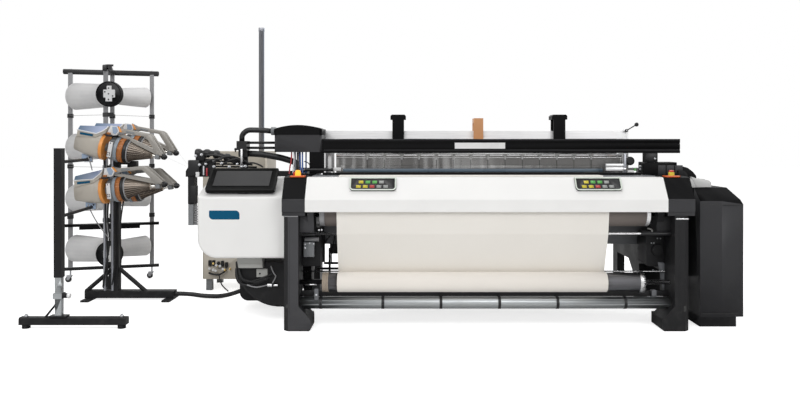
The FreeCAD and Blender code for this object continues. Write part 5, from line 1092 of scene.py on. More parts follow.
# %% [markdown]
# In front of the reed runs a bevelled rail with the relay nozzles behind it, and below it a thin
# grey strip. The main rail is a block with wide bevels, so that its front catches a line of light.

# %% Rails in front of the reed
block("nozzle_rail", (-0.9579, 0.8655), (0.4795, 0.4945), (0.9960, 1.0200), rail_slate, 0.005, "sley", 3)
block("nozzle_rail_foot", (-0.9929, 0.8865), (0.4805, 0.4945), (0.9480, 0.9940), black_cover, 0.002, "sley")
block("brown_strip", (-0.992, 0.8839), (0.4745, 0.4795), (0.9720, 0.9765), grey_plastic, 0.0008, "sley")
block("table_edge", (-0.965, 0.795), (0.384, 0.394), (0.9690, 0.9800), grey_plastic, 0.002)
block("temple_bar", (-1.080, 1.080), (0.300, 0.345), (0.9835, 0.9995), black_cover, 0.003)
for side, centre in (("left", -0.908), ("right", 0.76)):
    spun(f"temple_roller_{side}", (centre - 0.055, 0.360, 0.9945), (1, 0, 0),
         [(0, 0), (0, 0.007), (0.004, 0.010), (0.1, 0.010), (0.104, 0.007), (0.104, 0)], black_plastic,
         sides=20)
print("rails done")

# %% [markdown]
# At the reed's left end stand an upright white gauge, a stub with a round knob, and a black rod.
# At its right end there are light rails, an upright rod, a round black motor and a white block.

# %% Pieces beside the reed
block("left_gauge", (-1.0614, -1.0363), (0.462, 0.474), (1.0005, 1.1225), white_plastic, 0.002)
block("left_gauge_foot", (-1.0159, -0.9641), (0.398, 0.417), (1.0068, 1.0309), white_plastic, 0.002)
rod("left_cross_rod", (-1.2069, 0.36, 1.0165), (-1.0152, 0.36, 1.0165), 0.0095, black_plastic)
rod("left_knob", (-1.0122, 0.33, 0.989), (-1.027, 0.350, 0.9945), 0.0120, white_plastic, rim=0.4)
rod("left_knob_stub", (-1.027, 0.350, 0.9945), (-1.027, 0.372, 0.9945), 0.006, black_plastic)
for index, heights in enumerate(((1.03758, 1.05685), (1.00867, 1.03207))):
    block(f"right_rail_{index + 1}", (0.8605, 0.9844), (0.385, 0.411), heights, light_alloy)
rod("right_upright", (0.991, 0.384, 0.9592), (0.991, 0.384, 1.1271), 0.0092, upright_alloy)
rod("right_upright_collar", (0.991, 0.384, 1.0108), (0.991, 0.384, 1.028), 0.0130, bright_rod)
spun("right_drive_cap", (1.0429, 0.432, 1.075), (0, 1, 0),
     [(0, 0), (0, 0.020), (0.006, 0.030), (0.035, 0.030), (0.035, 0.0)], black_plastic)
block("right_white_block", (1.0093, 1.0542), (0.385, 0.425), (0.9668, 1.0123), white_plastic, 0.003)
block("right_green_tag", (1.0549, 1.0714), (0.388, 0.400), (1.0082, 1.0247), key_green, 0.001)
block("right_orange_tag", (1.0576, 1.0756), (0.388, 0.400), (0.9764, 0.9902), brown_orange, 0.001)
for index, height in enumerate((1.03693, 1.01463)):
    rod(f"right_shaft_{index + 1}", (1.108, 0.45, height), (1.192, 0.45, height), 0.0085, turned_steel)
block("right_panel_box", (1.1015, 1.3057), (0.330, 0.385), (0.9686, 1.0652), black_cover, 0.004)
for index, left in enumerate((1.200, 1.258, 1.316)):
    block(f"right_panel_field_{index + 1}", (left, left + 0.052), (0.3275, 0.3305), (0.9849, 1.0489),
          lit_black_and_dark_grey, 0.003)
block("right_pillar_clamp", (1.1436, 1.2162), (0.395, 0.412), (1.0645, 1.1295), black_plastic, 0.004)
rod("right_pillar_bolt", (1.2009, 0.395, 1.0925), (1.1987, 0.388, 1.0926), 0.006, turned_steel)
print("pieces beside the reed done")

# %% [markdown]
# The stop buttons stand on orange-red base plates, and a yellow collar shows below each red head.
# The left collar holds a lamp that is lit.

# %% Button plates and collars
button_x, button_y = 1.221, 0.128
button_low, button_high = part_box("stop_button_right")
button_split = button_low.z + 0.52 * (button_high.z - button_low.z)
dressed("stop_button_right", [red_plastic, key_yellow], lambda x, y, z, normal: z < button_split)
for side, sign, material in (("left", -1, lamp_orange), ("right", 1, key_yellow)):
    centre = sign * button_x
    spun(f"button_collar_{side}", (centre, button_y, 0.9795), (0, 0, 1),
         [(0, 0.0180), (0, 0.0192), (0.0290, 0.0192), (0.0305, 0.0180), (0, 0.0180)], material)
    outline = rounded_corners([(centre - 0.050, 0.095), (centre + 0.050, 0.095), (centre + 0.050, 0.165),
            (centre - 0.050, 0.165)], (0.012,) * 4)
    plate(f"button_plate_{side}", [(x, y, 0.9773) for x, y in outline], (0, 0, 0.0100), signal_red, 0.003,
          segments=2)
rod("left_lamp_tube", (-button_x - 0.030, 0.150, 0.979), (-button_x - 0.030, 0.150, 1.010), 0.006, tube_red)
print("buttons at", button_x)

# %% [markdown]
# Black bands sit round the bare cross tube. The top beam's bare plate is cut to its outline.

# %% Bands on the cross tube
band = spun("tube_bands", (-1.076, 0.100, 0.163), (1, 0, 0), ring_outline(0.0391, 0.0405, 0.018),
            black_plastic, sides=40)
repeat(band, [(step, 0, 0) for step in (0.403, 0.779, 1.158, 1.535, 1.974)])
plate("beam_plate",
      [(x, 0.4199, z) for x,
       z in rounded_corners([(-0.178, 1.1605), (0.171, 1.1605), (0.171, 1.2020), (-0.178, 1.2020)],
           (0.002,) * 4, 3)], (0, -0.0012, 0), white_plastic, 0.0003)
print("bands and plate done")

# %% [markdown]
# The guides above the heald frames carry a tan stop block in the middle, and rods and rollers have bare or
# black ends; where the front rod runs into the right leg, its black is painted shade. These solids are
# dressed too: how far a face lies from the middle plane tells its finish.

# %% Guides, lever, rods and rollers
dressed("heald_guides", [black_cover, tan_block, light_alloy],
        lambda x, y, z, normal: 1 if abs(x - 0.0085) < 0.04 else 2 * (abs(x) > 1.06))
dressed("lock_lever", [black_plastic])
# The rods above 0.55 m are black right of 1.030 m: painted shade inside the right leg.
dressed("guide_rods", [bright_rod, black_plastic],
        lambda x, y, z, normal: z < 0.25 or (z > 0.55 and x > 1.030) or abs(x) > 1.10)
dressed("take_up_roller", [grip_covering, bright_rod], lambda x, y, z, normal: abs(x) > 1.0399)
dressed("cloth_barrel", [dark_steel, roll_ring, bright_rod],
        lambda x, y, z, normal: 2 if x > 1.0 else x < -1.012 and math.hypot(y - 0.11, z - 0.295) > 0.05)
dressed("front_cross_tube", [tube_steel, black_plastic], lambda x, y, z, normal: abs(x) > 1.13)


# %% [markdown]
# Each heald frame carries hundreds of healds, flat wires with an eye in the middle that a warp
# thread passes through. One heald is cut to its outline, and an Array sets a row of them in each
# frame, where they ride up and down with it.

# %% Healds in the four frames
heald_pitch, heald_count, first_heald = 0.0054, 380, -1.026
half = 0.0007
outline = [(-half, 0.757), (-half, 0.962), (-2.2 * half, 0.980), (-half, 0.998), (-half, 1.231),
           (half, 1.231), (half, 0.998), (2.2 * half, 0.980), (half, 0.962), (half, 0.757)]
for index in range(1, 5):
    frame_low, frame_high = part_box(f"heald_frame_{index}")
    middle = (frame_low.y + frame_high.y) / 2 - front_y
    start = first_heald + heald_pitch / 4 * index
    heald = plate(f"healds_{index}", [(start + x, middle, z) for x, z in outline], (0, 0.0006, 0),
                  heald_steel, 0, f"heald_frame_{index}")
    in_a_row(heald, heald_count, heald_pitch)
    print("healds", index, "faces", len(heald.data.polygons))

# %% [markdown]
# The covers and castings catch the front light differently: the leg and the shoulders' lower bands are a
# shade lighter than the slopes above them, and the right cabinet's right face is darker than its front. The
# solids are right in shape, so this light and shade is painted on: they are dressed, and the direction in
# which a face looks tells which shade it takes.

# %% Shades of the covers and castings
dressed("terminal", [terminal_black])
dressed("supply_cabinet", [beige_cover, grey_plastic], lambda x, y, z, normal: z < 0.0945)
# The leg's front faces take the lighter grey: painted light.
dressed("side_frame_left", [black_casting, lit_leg_front], lambda x, y, z, normal: normal.y < -0.8 and y < 0.3)
# The shoulders' lower front bands take the lighter grey: painted light.
for side in ("left", "right"):
    dressed(f"shoulder_cover_{side}", [black_cover, lit_black_and_dark_grey], lambda x, y, z, normal: normal.y < -0.7
            and z < 0.85)
dressed("drive_hood", [black_cover, lit_black_and_dark_grey], lambda x, y, z, normal: z < 1.256)
# Below 0.80 m the cabinet's faces, apart from its top and right face, take the lighter grey, and the right
# face stays black: painted light and shade on one black cover.
dressed("right_cabinet", [black_cover, lit_black_and_dark_grey],
        lambda x, y, z, normal: z < 0.80 and normal.z < 0.3 and normal.x < 0.2)
dressed("right_drive_case", [black_casting, pale_box],
        lambda x, y, z, normal: x > 1.3575 and z > 0.9045 and y < 0.3305 and (y < 0.3045 or x > 1.3955))


def top_beam_part(x, y, z, normal):
    """0 beam, then the four tubes under its left end: 1 grey, 2 white, 3 dark, 4 blue."""
    for index, place in enumerate((-1.290, -1.265, -1.240, -1.215)):
        if abs(x - place) < 0.0065 and abs(y - 0.470) < 0.0065 and z < 1.1370:
            return 1 + index
    return 0


dressed("top_beam", [black_cover, tube_white, tube_grey, tube_white, tube_blue], top_beam_part)
dressed("hood_hoses", [black_plastic, grey_plastic], lambda x, y, z, normal: x > -1.465 and z > 1.25)
dressed("nozzle_carrier", [black_casting, grey_plastic], lambda x, y, z, normal: z < 0.7705)
dressed("support_stand", [black_casting, tube_steel, light_alloy], lambda x, y, z, normal: 1
        if 0.083 < z < 0.331 and abs(x + 2.764) < 0.021 else 2 * (y > 0.80 and z > 0.60))
dressed("signal_mast", [upright_alloy, cover_blue], lambda x, y, z, normal: z > 2.1385 or normal.x > 0.9)
print("covers dressed")

# %% [markdown]
# Two dark lines in the beam's face are slots for fixings. Thin strips in a lighter grey lie along
# it.

# %% Lines of the top beam
for index, height in enumerate((1.222, 1.151)):
    block(f"beam_line_{index + 1}", (-1.085, 1.375), (0.4186, 0.4202), (height - 0.0022, height + 0.0022),
          lit_black_and_dark_grey, 0.0006, segments=1)
print("beam lines", 2)

# %% [markdown]
# Small tubes stand at the left shoulder, next to the solid ones: a red one bends in from the left,
# and others in white, grey and dark blue fill the bundle.

# %% Tubes at the left shoulder
for index, (top, foot, material) in enumerate((
        (-1.31284, -1.32538, tube_red), (-1.29473, -1.30030, tube_white), (-1.27243, -1.27383, black_plastic),
        (-1.25293, -1.24875, tube_blue), (-1.23760, -1.23342, tube_blue))):
    line(f"shoulder_tube_{index + 1}",
         [(top, 0.452, 1.138), (top, 0.450, 1.08), (foot, 0.440, 1.03), (foot, 0.430, 0.985)], 0.0048,
         material)
print("shoulder tubes", 5)

# %% [markdown]
# The left cover carries one bare blue plate with two large and two small corners, and the terminal
# a dark screen on its slope. Each is cut to its rounded outline, pulled out by its thickness and
# bevelled. The screen rides on the terminal.

# %% Blue plate, terminal screen and small post
outline = rounded_corners([(-1.795, 0.7026), (-1.5965, 0.7026), (-1.5965, 0.7610), (-1.795, 0.7610)],
    (0.026, 0.005, 0.026, 0.005), 7)
plate("cover_plate", [(x, 0.1003, z) for x, z in outline], (0, -0.0016, 0), plate_blue, 0.0005)
screen_up, screen_out = Vector((0, 0.7986, 0.6018)), Vector((0, -0.6018, 0.7986))
screen_foot = Vector((-1.600, 0.112, 0.892)) - screen_out * 0.0025
outline = rounded_corners([(-0.186, 0.044), (0.186, 0.044), (0.186, 0.200), (-0.186, 0.200)], (0.004,) * 4, 3)
plate("terminal_screen",
      [screen_foot + Vector((across, 0, 0)) + screen_up * rise for across, rise in outline],
      screen_out * 0.0035, screen_grey, 0.0008, "terminal")
rod("terminal_post", (-1.6589, 0.44, 1.0331), (-1.6589, 0.44, 1.1583), 0.0085, bright_rod)
spun("terminal_post_foot", (-1.6589, 0.44, 1.0317), (0, 0, 1),
     [(0, 0), (0, 0.017), (0.004, 0.017), (0.010, 0.010), (0.010, 0.0)], turned_steel, sides=20)
spun("small_ball", (-1.7129, 0.49, 1.1354), (0, 0, 1),
     [(0, 0), (0.002, 0.0055), (0.010, 0.0045), (0.014, 0.0075), (0.021, 0.0095), (0.028, 0.0075),
      (0.031, 0)], black_plastic, sides=20)
print("plate and terminal done")

# %% [markdown]
# The four main nozzles hang from a curved black arm, with knuckles, cables and clips around them.
# The arm and the cables are pipes along smooth lines, and the knuckles are turned pieces that sit
# on them.

# %% Curved arm, cables and fittings of the main nozzles
line("carrier_arm",
     [(-1.992, 0.520, 1.129), (-1.90, 0.518, 1.137), (-1.80, 0.515, 1.105), (-1.689, 0.515, 1.059)], 0.017,
     black_casting, sides=4)
arm_knuckle = spun("arm_knuckles", (-2.004, 0.520, 1.131), (1, 0, -0.06),
    [(0, 0), (0.002, 0.024), (0.012, 0.030), (0.034, 0.030), (0.044, 0.023), (0.046, 0)], black_plastic,
    sides=24)
repeat(arm_knuckle, [(0.062, -0.002, -0.003), (0.128, -0.003, -0.010), (0.205, -0.004, -0.034)])
for index, (start, middle, end, radius) in enumerate((
        ((-1.96, 0.49, 1.098), (-1.86, 0.48, 1.150), (-1.72, 0.49, 1.060), 0.0085),
        ((-1.86, 0.47, 1.060), (-1.76, 0.47, 1.145), (-1.652, 0.48, 1.070), 0.0080),
        ((-1.80, 0.46, 1.045), (-1.70, 0.46, 1.125), (-1.612, 0.47, 1.055), 0.0070),
        ((-1.93, 0.46, 1.050), (-1.90, 0.45, 1.095), (-1.80, 0.46, 1.085), 0.0065),
        ((-1.66, 0.50, 1.040), (-1.60, 0.50, 1.085), (-1.52, 0.50, 1.030), 0.0060))):
    line(f"carrier_cable_{index + 1}", [start, middle, end], radius, black_plastic)
fitting = spun("carrier_fittings", (-1.955, 0.462, 1.048), (0, -1, 0),
    [(0, 0), (0, 0.0105), (0.010, 0.0105), (0.012, 0.0075), (0.024, 0.0075), (0.026, 0)], turned_steel,
    sides=6)
repeat(fitting, [(x, 0.004, z) for x,
           z in ((0.042, 0.006), (0.098, -0.012), (0.152, 0.010), (0.205, -0.014), (0.262, 0.004),
               (0.318, -0.010), (-0.028, 0.062), (0.012, 0.070))])
block("carrier_head", (-2.037, -1.9566), (0.452, 0.500), (0.9727, 1.0811), black_plastic, 0.006)
block("carrier_head_top", (-1.9874, -1.9243), (0.462, 0.520), (1.0739, 1.1327), black_casting, 0.008)
block("silver_block", (-1.9788, -1.9552), (0.440, 0.462), (0.9617, 0.998), white_plastic, 0.002)
rod("red_stub", (-1.9036, 0.45, 0.9701), (-1.9036, 0.45, 1.0258), 0.0055, tube_red)
rod("white_stub", (-1.9259, 0.45, 0.9771), (-1.9259, 0.45, 1.0398), 0.0050, tube_white)
block("lower_block", (-2.0281, -1.9832), (0.478, 0.520), (0.7753, 0.901), black_plastic, 0.004)
rib = block("valve_ribs", (-2.0126, -1.9776), (0.480, 0.500), (0.747, 0.7582), tube_grey, 0.001, segments=1)
repeat(rib, [(0, 0, -0.0175 * index) for index in range(1, 8)])
print("nozzle fittings done")

# %% [markdown]
# Under the left cover hangs a grey casting over the drive motor, and air valves sit on the front of
# the supply cabinet. Black cables hang between them in arcs.

# %% Casting, valves and cables under the left cover
plate("cover_casting",
      [(-1.6279, 0.2, 0.3693), (-1.4646, 0.2, 0.3693), (-1.47, 0.2, 0.437), (-1.6385, 0.2, 0.437)],
      (0, 0.09, 0), light_grey, 0.003, segments=2)
block("casting_lip", (-1.6239, -1.4686), (0.1955, 0.2005), (0.3733, 0.3993), light_grey)
block("motor_lug", (-1.5144, -1.4396), (0.232, 0.252), (0.3032, 0.3593), light_grey, 0.004)
rod("motor_lug_bolt", (-1.4909, 0.232, 0.3279), (-1.4901, 0.228, 0.3286), 0.0065, black_plastic, sides=12)
rod("motor_fitting", (-1.4401, 0.235, 0.2513), (-1.4067, 0.235, 0.2499), 0.0135, bright_rod)
rod("motor_fitting_tip", (-1.3993, 0.235, 0.2493), (-1.3699, 0.235, 0.2499), 0.0085, bright_rod)
for name, points, radius, material in (("motor_cable_1",
        ((-1.645, 0.24, 0.364), (-1.6547, 0.23, 0.2923), (-1.5793, 0.23, 0.2322), (-1.4377, 0.24, 0.2904)),
        0.0110, black_plastic),
    ("motor_cable_2",
     ((-1.6294, 0.23, 0.3657), (-1.6238, 0.22, 0.3074), (-1.5538, 0.22, 0.2574), (-1.4109, 0.24, 0.3239)),
     0.0085, black_plastic),
    ("motor_cable_3",
     ((-1.5716, 0.21, 0.2573), (-1.5251, 0.21, 0.2387), (-1.4719, 0.21, 0.2453), (-1.4325, 0.23, 0.2549)),
     0.0042, tube_grey),
    ("motor_cable_4",
     ((-1.4139, 0.22, 0.3807), (-1.3961, 0.21, 0.3291), (-1.3722, 0.21, 0.3158), (-1.4039, 0.22, 0.2674)),
     0.0040, tube_grey),
    ("motor_cable_5",
     ((-1.5916, 0.21, 0.2919), (-1.5164, 0.2, 0.2671), (-1.4586, 0.21, 0.2959), (-1.4206, 0.22, 0.3034)),
     0.0050, black_plastic),
    ("cabinet_cable",
     ((-2.0324, 1.3, 0.1267), (-2.0085, 1.25, 0.0745), (-1.9566, 1.15, 0.0583), (-1.896, 1.03, 0.055)),
     0.0052, rubber_black),
    ("valve_cable",
     ((-2.1153, 1.295, 0.1502), (-2.0625, 1.285, 0.1325), (-2.006, 1.285, 0.1422), (-1.9729, 1.295, 0.1745)),
     0.0075, black_plastic),
    ("hood_lead", ((-1.2209, 0.42, 1.0725), (-1.1973, 0.41, 1.0686), (-1.1821, 0.41, 1.0521),
         (-1.1766, 0.4, 1.0344)), 0.0032, black_plastic)):
    cord(name, points, radius, material)
valve = block("cabinet_valves", (-2.1215, -2.0988), (1.300, 1.322), (0.2044, 0.2497), black_plastic, 0.002,
              segments=1)
repeat(valve, [(0.030, 0, 0), (0.070, -0.004, -0.010), (0.102, -0.002, -0.004), (0.135, -0.003, -0.016)])
brass_nut = rod("brass_fittings", (-2.0789, 1.298, 0.2241), (-2.0755, 1.285, 0.2262), 0.010, brass, sides=6)
repeat(brass_nut, [(0.094, 0, -0.052), (0.136, 0, -0.044), (0.030, 0, -0.020)])
steel_nut = rod("steel_fittings", (-2.1112, 1.298, 0.1837), (-2.1072, 1.283, 0.1862), 0.012, white_plastic,
    sides=6)
repeat(steel_nut, [(0.030, 0, -0.010), (0.055, 0, 0.026), (0.085, 0, 0.020), (0.050, 0, -0.018),
           (0.110, 0, -0.006)])
block("white_flap", (-1.3731, -1.3223), (0.228, 0.240), (0.9517, 0.9771), white_plastic, 0.002)
print("casting, valves and cables done")

# %% [markdown]
# A weft feeder pulls yarn from the creel, winds it on its drum and gives it to a nozzle. All four
# are alike, so their small pieces are modelled once, along the X axis through one origin, and each
# is then placed four times with a matrix that turns and moves it to its feeder.

# %% Place pieces on the four feeders
feeder_x = -2.775
feeder_rows = ((0.850, 1.170, -10.0), (1.140, 1.195, -10.0), (0.850, 0.844, 5.3), (1.140, 0.818, 5.3))


def feeder_place(y, z, angle):
    """Matrix that turns a piece modelled at the origin and moves it to its feeder."""
    turn = Matrix.Rotation(math.radians(-angle), 4, "Y")
    return Matrix.Translation(at(feeder_x, y, z)) @ turn @ Matrix.Translation(-loom_origin)


feeder_places = [feeder_place(*row) for row in feeder_rows]
upper_reach, lower_reach = 0.092, 0.070
reach_shares = ((-0.010, 0.0), (0.014, 0.50), (0.045, 0.56), (0.060, 0.70), (0.082, 0.90), (0.100, 1.0),
    (0.280, 0.94), (0.350, 0.50), (0.470, 0.0))


def drawn_out(along, angle):
    """How far a place on a drum is drawn out along its axis: the upper drums reach further."""
    reach = upper_reach if angle < 0 else lower_reach
    for (low, low_share), (high, high_share) in zip(reach_shares, reach_shares[1:]):
        if low <= along <= high:
            return reach * (low_share + (high_share - low_share) * (along - low) / (high - low))
    return 0.0


def on_each_feeder(piece, on_drum=False):
    """Puts a piece on all four feeders, each copy with its own mesh, and joins the four."""
    twins = [piece] + [piece.copy() for row in feeder_rows[1:]]
    for twin in twins[1:]:
        twin.data = piece.data.copy()
        scene.collection.objects.link(twin)
    for twin, row, place in zip(twins, feeder_rows, feeder_places):
        if on_drum:
            for vertex in twin.data.vertices:
                vertex.co.x += drawn_out(vertex.co.x - middle_x, row[2])
        twin.data.transform(place)
    return joined(piece.name, *twins)


def on_feeders(name, outline, across, thickness, material, edge=0.002, segments=1):
    """Plate that stands along each feeder: its outline gives places along and above the axis."""
    corners = [(along, across, above) for along, above in outline]
    return on_each_feeder(plate(name, corners, (0, thickness, 0), material, edge, segments=segments))


print("feeders", len(feeder_places))

# %% [markdown]
# The drum, the second ring, the ribbed cone and the tip of each feeder are one solid with several
# finishes, which change along the feeder's axis. The dressed copy measures how far along its own
# axis each face lies, and its vertices are then drawn out along that axis.

# %% Drums in their finishes
rib_angle = math.pi / 24


def on_axis(x, y, z):
    """Place on the nearest feeder: along its axis, beside and above it, and the feeder's angle."""
    places = []
    for row_y, row_z, angle in feeder_rows:
        turn = math.radians(angle)
        dx, dz = x - feeder_x, z - row_z
        places.append((dx * math.cos(turn) + dz * math.sin(turn), y - row_y,
                          dz * math.cos(turn) - dx * math.sin(turn), angle))
    return min(places, key=lambda place: math.hypot(place[1], place[2]))


def drum_part(x, y, z, normal):
    """0 ribbed cone, 1 drum, 2 second ring in painted shade, 3 tip, 4 painted shade in the gap beside a rib.
    """
    along, beside, above, angle = on_axis(x, y, z)
    away = math.hypot(beside, above)
    # Every other face round the cone is darkened: painted shade in the gaps between its ribs.
    if 0.081 < along < 0.274 and math.floor(math.atan2(above, beside) / rib_angle) % 2 == 0:
        return 4
    if along > 0.2749 and away < 0.0085:
        return 3
    if 0.0595 < along < 0.0805 and away > 0.0812:
        return 2
    return along < 0.0605


drums = dressed("feeder_drums", [drum_coating, grey_plastic, orange_ring_in_shade, bright_tip, rib_gap_shade], drum_part)
for vertex in drums.data.vertices:
    along, beside, above, angle = on_axis(*(vertex.co - loom_origin))
    turn = math.radians(angle)
    vertex.co += Vector((math.cos(turn), 0, math.sin(turn))) * drawn_out(along, angle)
for index in range(1, 5):
    dressed(f"feeder_housing_{index}", [feeder_shell, feeder_grey],
            lambda x, y, z, normal: on_axis(x, y, z)[0] > -0.006)
print("drums and housings dressed")

# %% [markdown]
# Over each housing lies a hood with slanting blue faces and a white rim. Three cross sections give
# its shape: they are bridged, and the faces between the rim and the ridge take the blue finish.

# %% Hoods with blue faces


def hood_section(along, foot_half, foot, rim_half, rim, ridge_half, ridge):
    """Six corners of a section of the hood: foot, rim and ridge on both sides."""
    half = [(-foot_half, foot), (-rim_half, rim), (-ridge_half, ridge)]
    return [(along, y, z) for y, z in half] + [(along, -y, z) for y, z in reversed(half)]


hood = lofted("feeder_hoods",
              [hood_section(-0.202, 0.050, 0.046, 0.053, 0.094, 0.022, 0.128),
                  hood_section(-0.120, 0.070, 0.056, 0.073, 0.093, 0.026, 0.140),
                  hood_section(-0.046, 0.086, 0.068, 0.089, 0.092, 0.030, 0.150),
                  hood_section(0.006, 0.052, 0.106, 0.052, 0.134, 0.030, 0.158)], feeder_shell, angle=20)
# The blue faces pale towards the front: a painted sheen on the blue.
hood.data.materials.append(blue_hood_sheen)
for face in hood.data.polygons:
    face.material_index = int(face.center.z > 0.104 and abs(face.normal.x) < 0.7)
on_each_feeder(hood)
rim_points = ((-0.203, 0.054, 0.095), (-0.120, 0.074, 0.0945), (-0.050, 0.0895, 0.0925),
              (-0.040, 0.090, 0.094), (0.008, 0.053, 0.135), (0.010, 0.034, 0.158))
for side, sign in (("near", -1), ("far", 1)):
    on_each_feeder(tube(f"hood_rim_{side}",
            [(along, sign * across, above) for along, across, above in rim_points], 0.0045, white_plastic))
print("hoods", len(hood.data.polygons))

# %% [markdown]
# The near side of a hood carries a narrow blue plate, and a white flag with a pale blue facet and
# an orange slash stands in front of it. They are cut from flat outlines.

# %% Plates and flags
plate_corners = [(-0.176, -0.0605, 0.066), (-0.070, -0.0842, 0.068), (-0.070, -0.0848, 0.0835),
    (-0.176, -0.0611, 0.0825)]
on_each_feeder(plate("hood_plates", plate_corners, (0, -0.0016, 0), plate_blue, 0.0005))
on_feeders("feeder_flags",
           [(0.016, 0.112), (0.052, 0.096), (0.086, 0.104), (0.104, 0.136), (0.092, 0.168), (0.030, 0.168)],
           -0.046, 0.020, white_plastic, 0.003, 2)
on_feeders("flag_facets", [(0.046, 0.163), (0.078, 0.166), (0.094, 0.136), (0.078, 0.110), (0.058, 0.116)],
           -0.0462, -0.0022, pale_blue, 0.0008)
on_feeders("flag_slashes", [(0.084, 0.170), (0.096, 0.170), (0.122, 0.134), (0.110, 0.130)],
           -0.0500, 0.012, orange_plastic, 0.001)
on_feeders("slash_backs", [(0.078, 0.176), (0.128, 0.160), (0.150, 0.126), (0.104, 0.112)],
           -0.0375, 0.022, grey_plastic)
print("plates and flags done")

# %% [markdown]
# Between the winding ring and the second ring stand a black lever, a brown catch and a white
# sensor with dark eyes. A pale ring and a black ring with a grey inside lie round the drum.

# %% Levers, sensors and rings
on_each_feeder(block("feeder_levers", (0.016, 0.060), (-0.082, -0.030), (0.087, 0.101), black_plastic, 0.003))
on_each_feeder(block("feeder_catches", (0.018, 0.044), (-0.060, -0.030), (0.100, 0.116), brown_orange, 0.003))
on_each_feeder(block("feeder_sensors", (0.015, 0.040), (-0.1000, -0.0840), (-0.062, 0.052), white_plastic,
        0.004), True)
eye = block("sensor_eyes", (0.019, 0.025), (-0.1012, -0.0985), (-0.050, -0.040), black_plastic, 0.001)
repeat(eye, [(0.010, 0, 0), (0, 0, 0.016), (0.010, 0, 0.014), (0.005, 0, 0.088)])
on_each_feeder(eye, True)
on_each_feeder(spun("drum_rings", (0.044, 0, 0), (1, 0, 0), ring_outline(0.0862, 0.0945, 0.014, 0.003),
        ring_grey, sides=40), True)
on_each_feeder(spun("brake_rings", (0.0815, 0, 0), (1, 0, 0),
        [(0, 0.0850), (0, 0.0915), (0.004, 0.0935), (0.013, 0.0915), (0.016, 0.0880), (0.016, 0.0845),
         (0, 0.0850)], black_plastic, sides=40), True)
on_each_feeder(spun("brake_linings", (0.0980, 0, 0), (1, 0, 0),
        [(0, 0.0800), (0, 0.0868), (0.006, 0.0862), (0.007, 0.0800), (0, 0.0800)], tube_grey, sides=40), True)
print("rings done")

# %% [markdown]
# A frame with an open window reaches over the cone and holds the brake and the eyelet at the tip.
# Its outline is cut as a flat plate on each side, and short bars join the two plates.

# %% Frames over the cones
frame_outline = [(0.096, 0.158), (0.318, 0.156), (0.340, 0.146), (0.446, 0.030), (0.436, 0.014),
    (0.404, 0.016), (0.306, 0.126), (0.300, 0.130), (0.096, 0.128)]
for side, across in (("near", -0.040), ("far", 0.030)):
    on_feeders(f"cone_frame_{side}", frame_outline, across, 0.010, feeder_grey, 0.002, 2)
tie = block("frame_ties", (0.108, 0.124), (-0.034, 0.034), (0.134, 0.150), feeder_grey, 0.002)
repeat(tie, [(0.088, 0, 0), (0.180, 0, 0), (0.296, 0, -0.108)])
on_each_feeder(tie)
on_each_feeder(block("frame_windows", (0.150, 0.214), (-0.0412, -0.0398), (0.134, 0.150), grey_plastic,
        0.0004))
on_each_feeder(spun("tip_collars", (0.282, 0, 0), (1, 0, 0),
        [(0, 0.0085), (0, 0.0165), (0.010, 0.0165), (0.013, 0.0125), (0.060, 0.0115), (0.066, 0.0085),
         (0, 0.0085)], bright_tip, sides=24), True)
on_each_feeder(block("tip_fittings", (0.386, 0.420), (-0.026, 0.026), (-0.022, 0.014), grey_plastic, 0.006))
on_each_feeder(spun("eyelets", (0.432, 0, 0.004), (1, 0, 0),
        [(0, 0.0085), (0, 0.0170), (0.006, 0.0215), (0.022, 0.0225), (0.034, 0.0165), (0.040, 0.0085),
         (0.040, 0.0045), (0, 0.0085)], black_plastic, sides=28))
print("frames done")

# %% [markdown]
# The yarn of each feeder runs taut from its eyelet to a nozzle on the left of the loom. It is a
# cord of 0.8 mm, a little thicker than real yarn, so that it shows.

# %% Yarns from the feeders to the nozzles
yarn_radius = 0.0004
eyelet = at(0.473, 0, 0.004)
yarn_ends = ((-2.062, 0.500, 1.036), (-2.062, 0.520, 1.052), (-2.046, 0.500, 0.890), (-2.046, 0.520, 0.902))
for index, (place, end) in enumerate(zip(feeder_places, yarn_ends)):
    tip = place @ eyelet - loom_origin
    middle = (tip + Vector(end)) / 2
    cord(f"weft_yarn_{index + 1}", [tip, middle, end], yarn_radius, package_yarn_line)
print("yarns", len(yarn_ends))

# %% [markdown]
# The creel's posts are light metal, while its bars, collars and discs are black. The solid is
# dressed by height and by place: collars and bars lie at known heights, and the discs stand in
# front of the front post, where the dressed copy moves them a little to the right.

# %% Creel posts, bars, collars and discs
creel_posts = ((-3.416, 1.700), (-2.779, 1.890), (-2.999, 1.410), (-3.093, 1.796))
bar_middle, half_height, half_width = 1.8145, 0.0215, 0.017
post_radius, disc_x, disc_shift = 0.018, -2.943, 0.045


def creel_part(x, y, z, normal):
    """0 post, 1 black bar, collar or disc, 2 peg."""
    if z > 1.8035 or z < 0.1275 or any(low < z < low + 0.034 for low in (0.547, 0.982, 1.416)):
        return 1
    if y < 1.3935:
        return 1
    return 2 * (min(math.hypot(x - post_x, y - post_y) for post_x, post_y in creel_posts) > post_radius)


